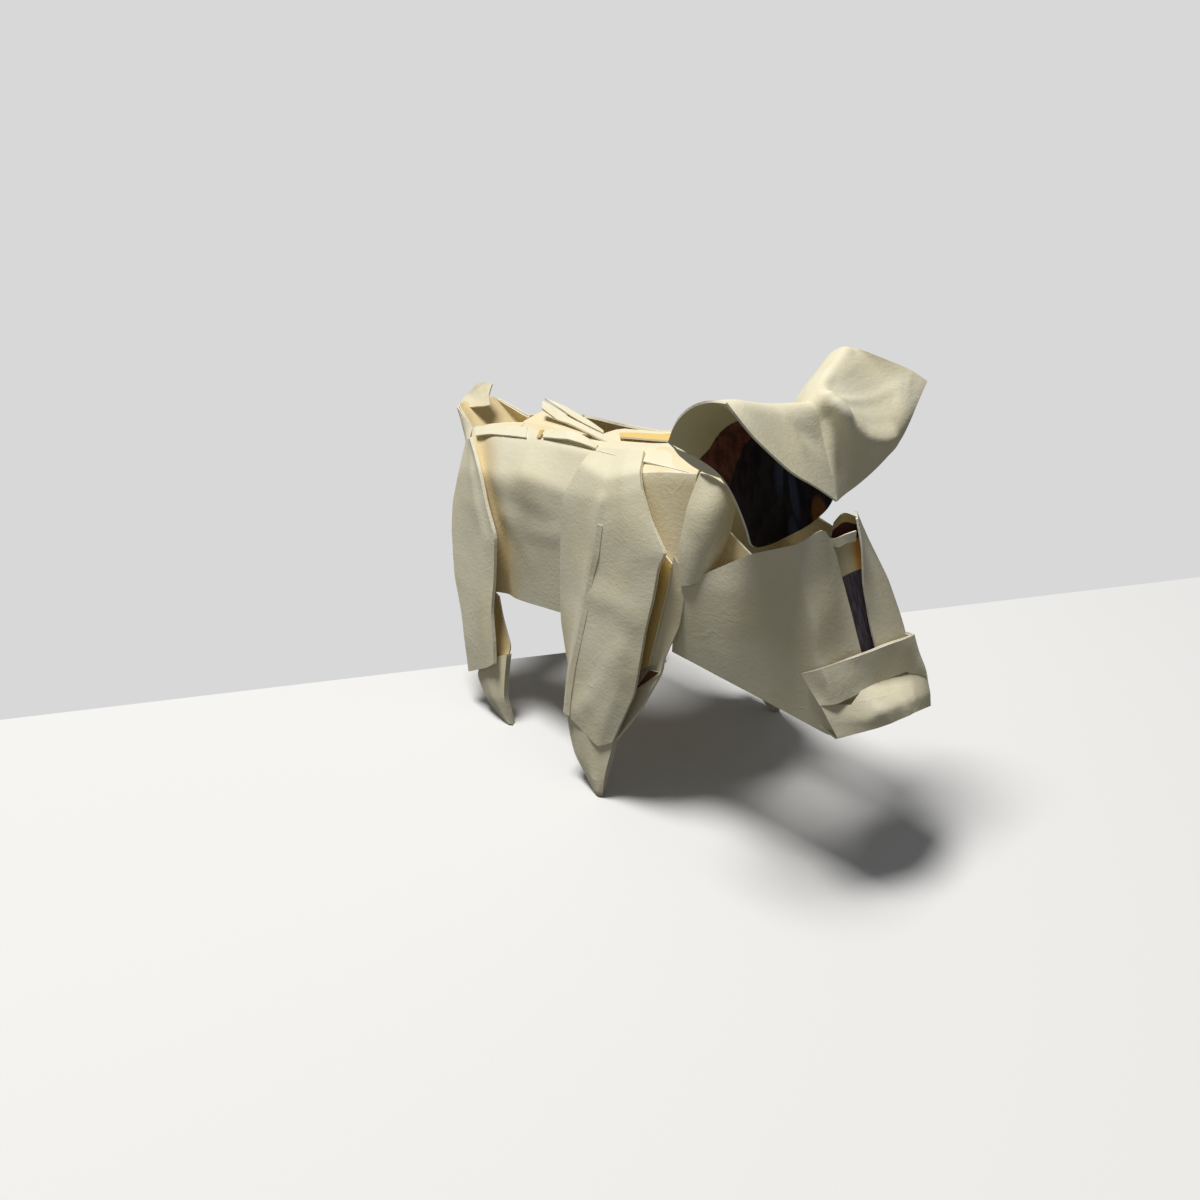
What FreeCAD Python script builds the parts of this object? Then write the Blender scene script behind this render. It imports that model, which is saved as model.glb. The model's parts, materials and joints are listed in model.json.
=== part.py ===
import FreeCAD, Part
import os

# Origami pig: one sheet of paper folded into a standing animal, so it is one solid.
#
# X points to the snout, Y to the pig's left, Z up. The origin is on the floor, under the
# middle of the whole figure. Every flap of the folded sheet is a thin shell with its own
# function: a point is written (x, out, z), where out is the distance from the pig's
# middle plane. The right-hand flaps are built once and mirrored to the left, and the
# sheets that cross the middle plane are built whole. All of them run into one another
# at their folds, and the last step fuses them into one solid.

vector = FreeCAD.Vector

doc = FreeCAD.newDocument("origami_pig")
sheet = doc.addObject("Spreadsheet::Sheet", "sizes")

SIZES = [
    # name, value in mm, meaning
    ("sheet_thick", 0.34, "one layer, as at the ears"),
    ("head_thick", 0.6, "the head's two layers"),
    ("body_thick", 1.0, "the trunk's packed layers"),
    ("leg_thick", 1.3, "a leg's rolled layers"),
    ("hoof_thick", 2.0, "the folded points of the feet"),
    ("back_height", 50.5, "floor to the crease between flank and back"),
    ("ridge_rise", 1.6, "ridge of the back above that crease"),
    ("rump_height", 47.0, "floor to the rim of the open rump"),
    ("belly_height", 22.0, "floor to the lower edge of the flank"),
    ("back_half", 8.4, "half the width of the back"),
    ("flank_bulge", 2.2, "how far the first fold of a flank stands out of the straight lean"),
    ("foot_half", 20.6, "half the distance between left and right feet"),
    ("rump_back", 48.0, "tail end, behind the fold plan's zero"),
    ("rump_half", 4.4, "half the width of the open rump"),
    ("tail_rise", 5.4, "tail above the rump's rim"),
    ("hind_foot", -13.0, "station of the hind feet"),
    ("front_foot", 14.0, "station of the front feet"),
    ("hem_height", 9.0, "cuff of the legs above the floor"),
    ("shoulder_swell", 4.4, "how far the front leg's middle crease stands out of the lean"),
    ("neck_station", 20.0, "front end of the trunk"),
    ("neck_rise", 2.9, "top of the neck above the crease of the back"),
    ("collar_swell", 3.8, "how far the collar's middle stands out of the lean"),
    ("head_back", 21.5, "back edge of the cheeks"),
    ("cheek_half", 11.8, "half the head's width at the back"),
    ("face_half", 9.2, "half the head's width at the face"),
    ("brow_station", 41.0, "top of the face"),
    ("brow_height", 51.2, "floor to the top of the face"),
    ("snout_station", 52.0, "front of the snout"),
    ("snout_top", 33.0, "floor to the upper edge of the snout band"),
    ("chin_height", 23.6, "floor to the lower edge of the head"),
    ("head_roll", 3.5, "degrees that the head hangs to its left"),
    ("slit_half", 1.3, "half the open slit between the two halves of the face"),
    ("ear_root", 33.5, "station where the back of an ear leaves the cheek"),
    ("ear_height", 70.4, "floor to the top of the ears"),
    ("ear_half", 20.0, "middle plane to the outer end of an ear"),
]

for row, (name, value, meaning) in enumerate(SIZES, start=1):
    sheet.set("A%d" % row, name)
    sheet.set("B%d" % row, str(value))
    sheet.setAlias("B%d" % row, name)
    sheet.set("C%d" % row, meaning)
doc.recompute()


class Sizes:
    """The spreadsheet's values, read by name."""

    def __getattr__(self, name):
        return float(getattr(sheet, name))


size = Sizes()


def lean(z):
    """Half-width of the splayed trunk and legs at height z: an A-frame from back to feet."""
    return size.foot_half - (size.foot_half - size.back_half) * z / size.back_height


def neck_top():
    """Height of the neck's top: it rises from the back."""
    return size.back_height + size.neck_rise


def on_side(x, z, off=0.0):
    """A point of the leaning side: off is how far it stands out from the trunk's skin."""
    return vector(x, lean(z) + off, z)


def triangles_of(facets):
    """Each facet is a closed run of point names; it is split into a fan of triangles."""
    fans = []
    for facet in facets:
        names = facet.split()
        for i in range(1, len(names) - 1):
            fans.append((names[0], names[i], names[i + 1]))
    return fans


def same_way_round(triangles):
    """Turn the triangles so that neighbours agree on which side of the sheet is outer."""
    rest = list(triangles)
    turned = [rest.pop(0)]
    edges = set()
    for i in range(3):
        edges.add((turned[0][i], turned[0][(i + 1) % 3]))
    while rest:
        for triangle in rest:
            runs = [(triangle[i], triangle[(i + 1) % 3]) for i in range(3)]
            agrees = any((end, start) in edges for start, end in runs)
            differs = any(run in edges for run in runs)
            if agrees or differs:
                break
        rest.remove(triangle)
        if differs:
            triangle = (triangle[0], triangle[2], triangle[1])
        for i in range(3):
            edges.add((triangle[i], triangle[(i + 1) % 3]))
        turned.append(triangle)
    return turned


def vertex_offsets(points, triangles, thick):
    """Half the thickness along the mitred normal of each point."""
    normals = {name: [] for triangle in triangles for name in triangle}
    for triangle in triangles:
        a, b, c = [points[name] for name in triangle]
        normal = (b - a).cross(c - a).normalize()
        for name, (p, q, r) in zip(triangle, ((a, b, c), (b, c, a), (c, a, b))):
            angle = (q - p).getAngle(r - p)
            normals[name].append((normal, angle))
    offsets = {}
    for name, around in normals.items():
        total = vector()
        for normal, angle in around:
            total += normal * angle
        total.normalize()
        mitre = min(normal.dot(total) for normal, angle in around)
        offsets[name] = total * (thick / 2 / max(mitre, 0.55))
    return offsets


def fold_sheet(points, facets, thick):
    """A sheet of flat facets with folds between them, thick / 2 to either side."""
    triangles = same_way_round(triangles_of(facets))
    offsets = vertex_offsets(points, triangles, thick)
    upper = {name: points[name] + offsets[name] for name in offsets}
    lower = {name: points[name] - offsets[name] for name in offsets}
    edges = set()
    for triangle in triangles:
        for i in range(3):
            edges.add((triangle[i], triangle[(i + 1) % 3]))
    corners = []
    for a, b, c in triangles:
        corners.append((upper[a], upper[b], upper[c]))
        corners.append((lower[a], lower[c], lower[b]))
    for start, end in edges:
        if (end, start) not in edges:
            corners.append((upper[start], lower[start], lower[end]))
            corners.append((upper[start], lower[end], upper[end]))
    faces = [Part.Face(Part.makePolygon(list(three) + [three[0]])) for three in corners]
    return solid_of(faces)


def curled_sheet(rows, thick):
    """A curled sheet: a smooth surface drawn by rows of poles, thickened to its outer side."""
    degree = 2

    def clamped(count):
        inner = count - degree
        return [degree + 1] + [1] * (inner - 1) + [degree + 1], list(range(inner + 1))

    u_mults, u_knots = clamped(len(rows))
    v_mults, v_knots = clamped(len(rows[0]))
    surface = Part.BSplineSurface()
    surface.buildFromPolesMultsKnots(rows, u_mults, v_mults, u_knots, v_knots,
                                     False, False, degree, degree)
    return surface.toShape().makeOffsetShape(thick, 0.001, fill=True)


def solid_of(faces):
    """Sew the faces of a closed sheet and turn the solid right side out."""
    shell = Part.makeShell(faces)
    shell.sewShape()
    solid = Part.makeSolid(shell if shell.ShapeType == "Shell" else shell.Shells[0])
    if solid.Volume < 0:
        solid.reverse()
    return solid


def strip(lines, thick):
    """A sheet through lines of points side by side, with as many points in each."""
    points = {}
    facets = []
    for i, line in enumerate(lines):
        for j, point in enumerate(line):
            points["%d.%d" % (i, j)] = point
    for i in range(len(lines) - 1):
        for j in range(len(lines[0]) - 1):
            facets.append("%d.%d %d.%d %d.%d %d.%d" % (i, j, i, j + 1, i + 1, j + 1, i + 1, j))
    return fold_sheet(points, facets, thick)


def both_sides(line):
    """A line of points from the middle plane outwards, continued to the other side."""
    other = [vector(p.x, -p.y, p.z) for p in reversed(line) if p.y > 0]
    return other + list(line)


def mirrored(solid):
    return solid.mirror(vector(), vector(0, 1, 0))


def hung(solid):
    """Part of the head, rolled with it about the middle of the neck."""
    turned = solid.copy()
    turned.rotate(vector(0, 0, 0.5 * (size.brow_height + size.chin_height)), vector(1, 0, 0), -size.head_roll)
    return turned


# ---- the trunk ---------------------------------------------------------------------


def trunk_side():
    """One flank: rim of the rump, crease, two tiers of shallow folds and the belly edge."""
    rump = -size.rump_back
    length = size.neck_station - rump
    back = size.back_height
    rim = size.rump_height
    half = size.rump_half
    bulge = size.flank_bulge
    # station as a share of the trunk, how far the column leans forward on its way down,
    # height and out of the rim, height of the crease, drop of the first and second fold
    # below the crease, share of the bulge there, rise of the belly edge
    columns = [
        (0.135, 11.0, rim - 1.2, half + 1.8, rim - 2.4, 4.1, 10.6, 0.45, -2.2),
        (0.26, 7.0, rim + 0.3, half + 1.8, rim - 0.7, 4.6, 11.2, 0.7, -0.8),
        (0.42, 3.0, back - 0.9, half + 1.8, back - 1.9, 5.6, 12.2, 1.0, -0.1),
        (0.53, 1.5, back - 0.3, half + 1.8, back - 1.2, 5.4, 12.6, 1.2, 0.4),
        (0.70, 1.0, back + 0.4, half + 2.0, back - 0.2, 5.6, 11.2, 1.0, 2.0),
        (0.95, 0.0, back + 1.7, half + 2.6, back + 0.9, 5.2, 10.2, 0.8, 4.2),
    ]
    lines = []
    for share, lean_on, rim_z, rim_out, crease_z, first, second, swell, belly in columns:
        x = rump + share * length
        lines.append([
            vector(x, rim_out, rim_z),
            on_side(x + 0.15 * lean_on, crease_z, -0.9),
            on_side(x + 0.6 * lean_on, crease_z - first, swell * bulge),
            on_side(x + 0.8 * lean_on, crease_z - second, 0.6 * swell * bulge),
            on_side(x + lean_on, size.belly_height + belly, -1.7),
        ])
    points = {}
    facets = []
    for i, line in enumerate(lines):
        for j, point in enumerate(line):
            points["%d.%d" % (i, j)] = point
            if i > 0 and j > 0:
                facets.append("%d.%d %d.%d %d.%d %d.%d"
                              % (i - 1, j - 1, i - 1, j, i, j, i, j - 1))
    points["corner"] = vector(rump, half, rim + 1.2)
    points["beak"] = vector(rump + 1.2, half + 0.5, rim - 1.6)
    facets.append("corner 0.0 beak")
    facets.append("beak 0.0 0.1")
    return fold_sheet(points, facets, size.body_thick)


def rump():
    """The rump's closing panel, tucked in along the middle plane."""
    back = -size.rump_back
    rim = size.rump_height
    foot = size.belly_height
    rows = [
        [vector(back + 1.2, 0, rim - 1.8), vector(back + 0.6, size.rump_half, rim - 0.6)],
        [vector(back + 10.0, 0, rim - 5.8), vector(back + 9.6, size.rump_half + 2.6, rim - 3.2)],
        [vector(back + 15.0, 0, rim - 11.0), on_side(back + 12.6, rim - 8.0, -0.8)],
        [vector(back + 18.5, 0, rim - 17.0), on_side(back + 14.2, rim - 13.5, -1.3)],
        [vector(back + 22.5, 0, foot + 2.0), on_side(back + 18.0, foot + 1.4, -1.3)],
    ]
    return strip([both_sides(row) for row in rows], size.body_thick)


def tail():
    """A small crumpled point that stands on the rump's middle fold."""
    root = -size.rump_back
    rim = size.rump_height
    top = rim + size.tail_rise
    lines = [
        [vector(root - 0.4, -1.6, rim - 0.2), vector(root - 1.0, -1.1, rim + 1.4),
         vector(root + 1.4, -0.2, top - 0.5)],
        [vector(root + 1.6, 0.4, rim - 1.0), vector(root + 1.4, 1.2, rim + 1.8),
         vector(root + 2.6, 0.5, top - 1.0)],
        [vector(root + 3.4, 0.9, rim - 2.4), vector(root + 3.2, -0.2, rim + 2.0),
         vector(root + 4.1, -0.4, top - 0.2)],
        [vector(root + 6.4, 1.4, rim - 5.6), vector(root + 5.2, 1.2, rim + 1.6),
         vector(root + 5.7, 0.5, top - 0.4)],
    ]
    return strip(lines, size.head_thick)


def saddle():
    """The closed part of the back, from the open rump to the neck, turned down at its sides."""
    back = size.back_height
    ridge = back + size.ridge_rise
    neck = size.neck_station
    rear = -11.5
    rows = []
    for share, rise, wide in ((0.0, -1.2, -0.6), (0.2, -0.6, -0.4), (0.45, 0.4, 0.2), (0.72, 1.6, 0.5)):
        x = rear + share * (neck - rear)
        rows.append([
            vector(x, 0, ridge + rise - 0.8),
            vector(x, 0.5 * size.back_half, ridge + rise - 0.4),
            vector(x, size.back_half + wide, back + rise + 0.6),
            on_side(x - 0.5, back + rise - 0.8, 0.3 + wide),
        ])
    rows.append([
        vector(neck + 0.6, 0, neck_top() + 0.8),
        vector(neck + 0.5, 0.5 * size.back_half, neck_top() + 0.9),
        vector(neck + 0.3, size.back_half + 0.6, neck_top() + 0.2),
        on_side(neck, neck_top() - 1.4, 1.0),
    ])
    return strip([both_sides(row) for row in rows], size.body_thick)


def back_strip():
    """The loose strip that runs back over the open rump, grooved along its middle."""
    ridge = size.back_height + size.ridge_rise
    rows = []
    for x, lift, half in ((-26.0, 0.1, 1.4), (-21.0, -0.2, 2.5), (-14.4, -1.0, 2.6), (-5.4, -1.2, 2.6)):
        rows.append([vector(x - 0.4, 0, ridge + lift - 1.0), vector(x, half, ridge + lift)])
    return strip([both_sides(row) for row in rows], size.head_thick)


def strip_lining():
    """The wider layer below the loose strip."""
    ridge = size.back_height + size.ridge_rise
    rows = []
    for x, lift, half in ((-24.8, -1.6, 4.0), (-19.6, -2.1, 5.4), (-11.0, -2.2, 6.4)):
        rows.append([vector(x - 0.4, 0, ridge + lift + 0.4), vector(x, half, ridge + lift)])
    return strip([both_sides(row) for row in rows], size.head_thick)


def chest():
    """The front of the trunk, folded across the middle plane."""
    neck = size.neck_station
    top = neck_top()
    # height, and how far ahead of the neck the middle, the turn and the side are
    heights = [
        (top + 0.6, 0.8, 0.7, 0.3),
        (top - 4.5, 3.6, 2.8, 0.5),
        (top - 11.0, 3.6, 2.8, 0.5),
        (top - 19.0, 2.6, 1.8, 0.0),
        (top - 27.0, -0.4, -1.0, -2.4),
    ]
    rows = []
    for z, middle, turn, side in heights:
        rows.append([
            vector(neck + middle, 0, z),
            vector(neck + turn, 0.52 * lean(z), z),
            on_side(neck + side, z, -0.9),
        ])
    return strip([both_sides(row) for row in rows], size.body_thick)


# The seam where the collar lies on the chest panel: ahead of the neck, below its top, and
# how far it stands out of the lean.
COLLAR_SEAM = [(2.7, -1.0, 1.7), (2.0, 3.0, 1.5), (1.8, 7.4, 1.1), (1.5, 11.5, 0.9), (2.3, 16.0, 0.5)]


def collar():
    """The rounded panel between shoulder and cheek, fuller in its middle."""
    neck = size.neck_station
    top = neck_top()
    swell = size.collar_swell
    # ahead of the neck, below its top, share of the swell
    outline = [
        [(5.6, -1.0, 0.6), (5.4, 2.0, 1.0), (5.2, 6.4, 1.0), (4.8, 10.8, 0.75), (4.4, 15.2, 0.35)],
        [(7.8, -0.6, 0.3), (8.4, 1.8, 0.55), (8.6, 5.6, 0.5), (8.2, 9.6, 0.35), (6.4, 13.6, 0.1)],
        [(7.6, 0.0, -0.35), (8.0, 2.2, -0.15), (8.0, 5.8, -0.2), (7.4, 9.6, -0.3), (5.8, 13.2, -0.4)],
    ]
    lines = [[on_side(neck + ahead, top - drop, off) for ahead, drop, off in COLLAR_SEAM]]
    for row in outline:
        lines.append([on_side(neck + ahead, top - drop, share * swell) for ahead, drop, share in row])
    return strip(lines, size.head_thick)


def chest_panel():
    """The smooth facet between a shoulder's edge and the collar, ending under the collar."""
    neck = size.neck_station
    top = neck_top()
    under = 0.8
    hind = [(-12.0, 0.0, -3.7), (-9.0, 2.0, 2.2), (-6.4, 7.0, 2.0), (-4.0, 11.5, 1.7), (-1.4, 15.5, 1.3)]
    lines = [
        [on_side(neck + ahead, top - drop, off) for ahead, drop, off in hind],
        [on_side(neck + ahead + under, top - drop, off) for ahead, drop, off in COLLAR_SEAM],
    ]
    return strip(lines, size.head_thick)


def neck_fold():
    """The fold that carries the head: from the collar forward to the inside of a cheek."""
    neck = size.neck_station
    hold = size.ear_root - 1.0
    upper = size.brow_height - 7.0
    tuck = 1.6
    lines = [
        [on_side(neck - tuck, upper + 2.0, -1.5), vector(0.5 * (neck + hold), 8.6, upper),
         vector(hold, cheek_out(hold), upper - 1.6)],
        [on_side(neck - tuck, upper - 6.0, -1.5), vector(0.5 * (neck + hold), 9.6, upper - 7.5),
         vector(hold, cheek_out(hold), upper - 8.0)],
    ]
    return strip(lines, size.head_thick)


# ---- the legs ----------------------------------------------------------------------


def leg_lines(foot, profile, offs):
    """Side-view lines down a leg: (ahead of the foot, share of the back's height)."""
    lines = []
    for line, off in zip(profile, offs):
        lines.append([on_side(foot + dx, share * size.back_height, lift)
                      for (dx, share), lift in zip(line, off)])
    return lines


def front_leg():
    """Outer panel of a front leg: the shoulder laid over the back, the crease down the
    middle of the leg, and the edge from the knee to the cuff."""
    rear = [(-17.4, 1.01), (-16.9, 0.97), (-18.7, 0.885), (-19.3, 0.81), (-18.5, 0.66),
            (-17.6, 0.55), (-16.5, 0.455), (-13.5, 0.35), (-10.6, 0.265), (-8.5, 0.176)]
    ridge = [(-12.1, 1.03), (-8.1, 0.98), (-7.6, 0.92), (-7.7, 0.86), (-8.3, 0.71),
             (-8.7, 0.59), (-9.1, 0.49), (-9.7, 0.38), (-9.8, 0.29), (-9.6, 0.21)]
    middle = [(-9.3, 1.04), (-4.6, 1.01), (-3.2, 0.96), (-1.7, 0.89), (0.0, 0.76),
              (0.3, 0.655), (1.0, 0.56), (2.0, 0.43), (0.4, 0.31), (-1.1, 0.17)]
    edge = [(-5.8, 1.05), (-2.0, 1.03), (-0.5, 0.99), (2.5, 0.915), (6.5, 0.83),
            (5.6, 0.69), (5.0, 0.585), (4.8, 0.46), (4.2, 0.37), (1.4, 0.20)]
    # how much of the shoulder's swell each point takes
    swells = [
        [-0.30, 0.32, 0.45, 0.38, 0.16, 0.02, -0.08, -0.07, -0.02, 0.0],
        [-0.25, 0.84, 1.0, 0.95, 0.78, 0.68, 0.64, 0.57, 0.48, 0.42],
        [-0.20, 0.88, 1.02, 1.06, 0.95, 0.86, 0.82, 0.68, 0.57, 0.36],
        [-0.15, 0.70, 0.84, 0.84, 0.77, 0.70, 0.64, 0.50, 0.39, 0.27],
    ]
    offs = [[share * size.shoulder_swell for share in row] for row in swells]
    return strip(leg_lines(size.front_foot, (rear, ridge, middle, edge), offs), size.leg_thick)


def front_lining():
    """Inner panel of a front leg, below the belly: it closes the leg to a flat tube."""
    front_edge = [(3.6, 0.60), (2.2, 0.485), (2.3, 0.38), (-1.4, 0.18)]
    middle = [(-4.5, 0.58), (-4.8, 0.47), (-5.2, 0.34), (-6.0, 0.18)]
    back_edge = [(-15.4, 0.55), (-15.6, 0.47), (-13.2, 0.36), (-9.6, 0.20)]
    offs = [
        [0.6, 0.5, 0.3, 0.4],
        [-2.4, -2.3, -1.8, -1.0],
        [-1.2, -0.9, -0.4, 0.6],
    ]
    lines = leg_lines(size.front_foot, (front_edge, middle, back_edge), offs)
    return strip(lines, size.head_thick)


def shoulder_layer():
    """The layers that show ahead of a front leg's edge, from the shoulder to the brisket."""
    inner = [(1.6, 0.86), (3.4, 0.74), (2.6, 0.605), (1.8, 0.425), (0.0, 0.30)]
    outer = [(7.0, 0.81), (6.6, 0.74), (5.7, 0.615), (4.8, 0.465), (2.0, 0.30)]
    front = [(8.9, 0.765), (8.9, 0.70), (8.6, 0.61), (6.8, 0.48), (3.4, 0.31)]
    offs = [
        [1.9, 1.3, 0.7, -0.2, 0.0],
        [1.4, 1.2, 0.4, -0.3, 0.2],
        [0.5, 0.2, -0.2, -0.5, -0.3],
    ]
    return strip(leg_lines(size.front_foot, (inner, outer, front), offs), size.head_thick)


def hind_leg():
    """Outer panel of a hind leg: haunch, hock and the wide cuff."""
    rear = [(-24.4, 0.89), (-24.0, 0.78), (-24.7, 0.67), (-23.5, 0.565), (-20.2, 0.42),
            (-15.9, 0.305), (-13.4, 0.21), (-11.2, 0.12)]
    middle = [(-22.4, 0.90), (-17.9, 0.805), (-14.3, 0.71), (-10.5, 0.625), (-9.5, 0.49),
              (-6.8, 0.37), (-4.3, 0.275), (-4.6, 0.195)]
    front = [(-21.4, 0.91), (-15.3, 0.83), (-11.5, 0.73), (-7.8, 0.645), (-6.9, 0.495),
             (-4.6, 0.385), (-1.6, 0.29), (-2.7, 0.22)]
    offs = [
        [-1.4, -0.6, -0.5, -0.4, -0.2, 0.1, 0.3, 0.3],
        [-0.3, 1.4, 1.9, 2.0, 2.0, 1.7, 1.2, 1.2],
        [-0.1, 1.3, 1.6, 1.7, 0.9, 0.9, 0.5, 0.8],
    ]
    return strip(leg_lines(size.hind_foot, (rear, middle, front), offs), size.leg_thick)


def hind_lining():
    """Inner panel of a hind leg, below the belly."""
    rear = [(-19.0, 0.44), (-15.6, 0.34), (-13.0, 0.23), (-10.4, 0.13)]
    middle = [(-13.6, 0.455), (-11.6, 0.36), (-8.6, 0.245), (-7.0, 0.15)]
    front = [(-8.6, 0.47), (-7.2, 0.38), (-2.4, 0.295), (-3.2, 0.205)]
    offs = [
        [-0.2, 0.0, 0.1, 0.2],
        [-2.4, -2.2, -1.6, -0.9],
        [0.8, 0.8, 0.4, 0.3],
    ]
    return strip(leg_lines(size.hind_foot, (rear, middle, front), offs), size.head_thick)


def haunch_fold():
    """The narrow facet that turns in from a hind leg's front edge to the flank."""
    outer = [(-15.6, 0.86), (-12.6, 0.74), (-9.7, 0.63), (-8.4, 0.50), (-7.9, 0.42)]
    inner = [(-13.4, 0.85), (-10.0, 0.735), (-7.0, 0.63), (-5.6, 0.50), (-6.0, 0.42)]
    offs = [
        [0.4, 0.8, 1.1, 1.1, 1.0],
        [-0.9, -1.1, -1.2, -1.2, -1.2],
    ]
    return strip(leg_lines(size.hind_foot, (outer, inner), offs), size.head_thick)


def hoof(foot, outline):
    """The folded point below a cuff, taken past the floor and trimmed there."""
    points = {}
    for i, (dx, z, off) in enumerate(outline):
        points["p%d" % i] = on_side(foot + dx, z, off)
    return fold_sheet(points, [" ".join(points)], size.hoof_thick)


def front_hoof():
    hem = size.hem_height
    return hoof(size.front_foot, [
        (-9.6, hem + 2.4, 0.1), (-8.6, 0.8 * hem, 0.0), (-6.6, 0.45 * hem, -0.2), (-3.0, 1.2, -0.4),
        (-1.4, -0.6, -0.5), (0.6, -0.6, -0.5), (0.9, 0.6 * hem, -0.1), (0.8, hem + 1.4, 0.1),
        (-1.0, hem + 3.0, 0.2),
    ])


def hind_hoof():
    hem = size.hem_height
    return hoof(size.hind_foot, [
        (-11.0, hem - 0.8, 0.1), (-10.0, 0.6 * hem, 0.0), (-6.4, 0.3 * hem, -0.2), (-2.8, 0.8, -0.4),
        (-1.4, -0.6, -0.5), (0.8, -0.6, -0.5), (-0.6, 0.4 * hem, -0.2), (-1.9, hem - 1.0, 0.0),
        (-3.0, hem + 2.6, 0.2),
    ])


# ---- the head ----------------------------------------------------------------------


def cheek_out(x):
    """Half-width of the head at station x, narrowing from the back to the face."""
    share = (x - size.head_back) / (size.brow_station + 3.5 - size.head_back)
    return size.cheek_half + (size.face_half - size.cheek_half) * share


def face_x(z):
    """Station of the face at height z: it slopes forward from brow to snout."""
    brow = size.brow_height
    share = (brow - z) / (brow - size.snout_top)
    return size.brow_station - 0.6 + (size.snout_station - 4.0 - size.brow_station + 0.4) * share


def head_side():
    """One cheek with its half of the face, folded along the corner between them."""
    back = size.head_back
    brow = size.brow_height
    chin = size.chin_height
    top = size.snout_top
    slit = size.slit_half
    half = size.face_half
    middle = 0.5 * (brow + top)
    root = size.ear_root
    points = {
        "back_low": vector(back, size.cheek_half, chin + 2.8),
        "back_high": vector(back + 1.0, size.cheek_half - 0.2, chin + 14.4),
        "cheek_top": vector(root + 0.8, cheek_out(root), brow - 5.4),
        "brow_out": vector(size.brow_station - 2.2, half - 3.0, brow - 1.8),
        "brow_in": vector(size.brow_station, slit + 1.6, brow + 0.3),
        "corner_high": vector(face_x(brow - 7.0) - 0.6, half - 1.7, brow - 7.0),
        "corner_mid": vector(face_x(middle - 3.0) - 0.6, half - 0.7, middle - 3.0),
        "corner_low": vector(face_x(top) - 3.2, half + 0.7, top - 1.2),
        "chin_front": vector(size.snout_station - 0.8, half + 0.4, chin + 0.2),
        "chin_mid": vector(back + 14.0, cheek_out(back + 14.0), chin + 1.6),
        "slit_high": vector(face_x(brow - 3.8), slit + 0.1, brow - 3.8),
        "slit_mid": vector(face_x(brow - 9.2) + 0.4, slit + 0.3, brow - 9.2),
        "slit_low": vector(face_x(top), slit, top + 0.2),
    }
    facets = [
        "back_low back_high cheek_top chin_mid",
        "chin_mid cheek_top corner_high corner_mid",
        "chin_mid corner_mid corner_low chin_front",
        "cheek_top brow_out corner_high",
        "brow_out brow_in slit_high corner_high",
        "corner_high slit_high slit_mid corner_mid",
        "corner_mid slit_mid slit_low corner_low",
    ]
    return fold_sheet(points, facets, size.head_thick)


def slit_lining():
    """The layers that show behind the slit in the face."""
    brow = size.brow_height
    rows = []
    for z, recess in ((brow + 0.9, 0.4), (brow - 4.0, 1.3), (brow - 9.5, 1.6), (size.snout_top + 1.0, 1.2)):
        x = face_x(z)
        rows.append([vector(x - recess, 0, z), vector(x + 0.35, size.slit_half + 2.2, z)])
    return strip([both_sides(row) for row in rows], size.head_thick)


def snout():
    """The snout: a band folded round the end of the face, and the flat disc below it."""
    front = size.snout_station
    top = size.snout_top
    chin = size.chin_height
    half = size.face_half
    ridge = 0.6 * top + 0.4 * chin
    rows = [
        [vector(front - 3.9, 0, top + 0.7), vector(front - 4.8, 0.48 * half, top + 0.4),
         vector(front - 6.4, 0.87 * half, top - 0.4), vector(front - 7.4, half + 0.6, top - 1.2)],
        [vector(front - 0.4, 0, ridge + 0.8), vector(front - 0.7, 0.43 * half, ridge + 0.6),
         vector(front - 1.6, 0.82 * half, ridge - 0.4), vector(front - 4.4, half + 0.6, ridge - 0.8)],
        [vector(front + 0.6, 0, chin - 0.2), vector(front + 0.4, 0.43 * half, chin - 0.1),
         vector(front - 0.1, 0.82 * half, chin), vector(front - 0.9, half + 0.4, chin + 0.1)],
    ]
    return strip([both_sides(row) for row in rows], size.head_thick)


def chin():
    """The hem of the snout, folded back under the jaw."""
    front = size.snout_station
    low = size.chin_height
    rows = [
        [vector(front + 0.3, 0, low + 0.2), vector(front - 1.1, size.face_half, low + 0.4)],
        [vector(front - 7.0, 0, low + 2.0), vector(front - 7.4, size.face_half + 0.3, low + 1.9)],
    ]
    return strip([both_sides(row) for row in rows], size.head_thick)


# Sections across the hood from back edge to rim, five poles each: how far the pole lies
# ahead of ear_root (the rim's pole: ahead of brow_station), its distance from the middle
# plane as a share of ear_half, and its share of the rise from the brow to the ears' top.
MIDDLE_SECTION = [(-0.1, 0.0, -0.40), (-1.9, 0.0, 0.15), (1.3, 0.0, 0.71), (4.4, 0.0, 0.45),
                  (-0.8, 0.0, 0.05)]
RIGHT_EAR = [
    [(-1.2, 0.59, -0.10), (-2.9, 0.24, 0.28), (-0.6, 0.24, 0.76), (4.4, 0.24, 0.66), (-0.2, 0.24, 0.22)],
    [(-1.4, 0.62, 0.22), (-3.9, 0.47, 0.48), (-1.7, 0.47, 0.77), (2.9, 0.47, 0.80), (-2.4, 0.47, 0.38)],
    [(-2.8, 0.82, 0.46), (-5.1, 0.74, 0.64), (-2.0, 0.74, 0.83), (2.0, 0.74, 0.85), (-3.7, 0.74, 0.64)],
    [(-6.5, 0.99, 0.57), (-4.6, 1.0, 0.74), (-1.2, 1.0, 0.87), (1.6, 1.0, 0.93), (-4.0, 1.0, 0.94)],
]
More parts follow.
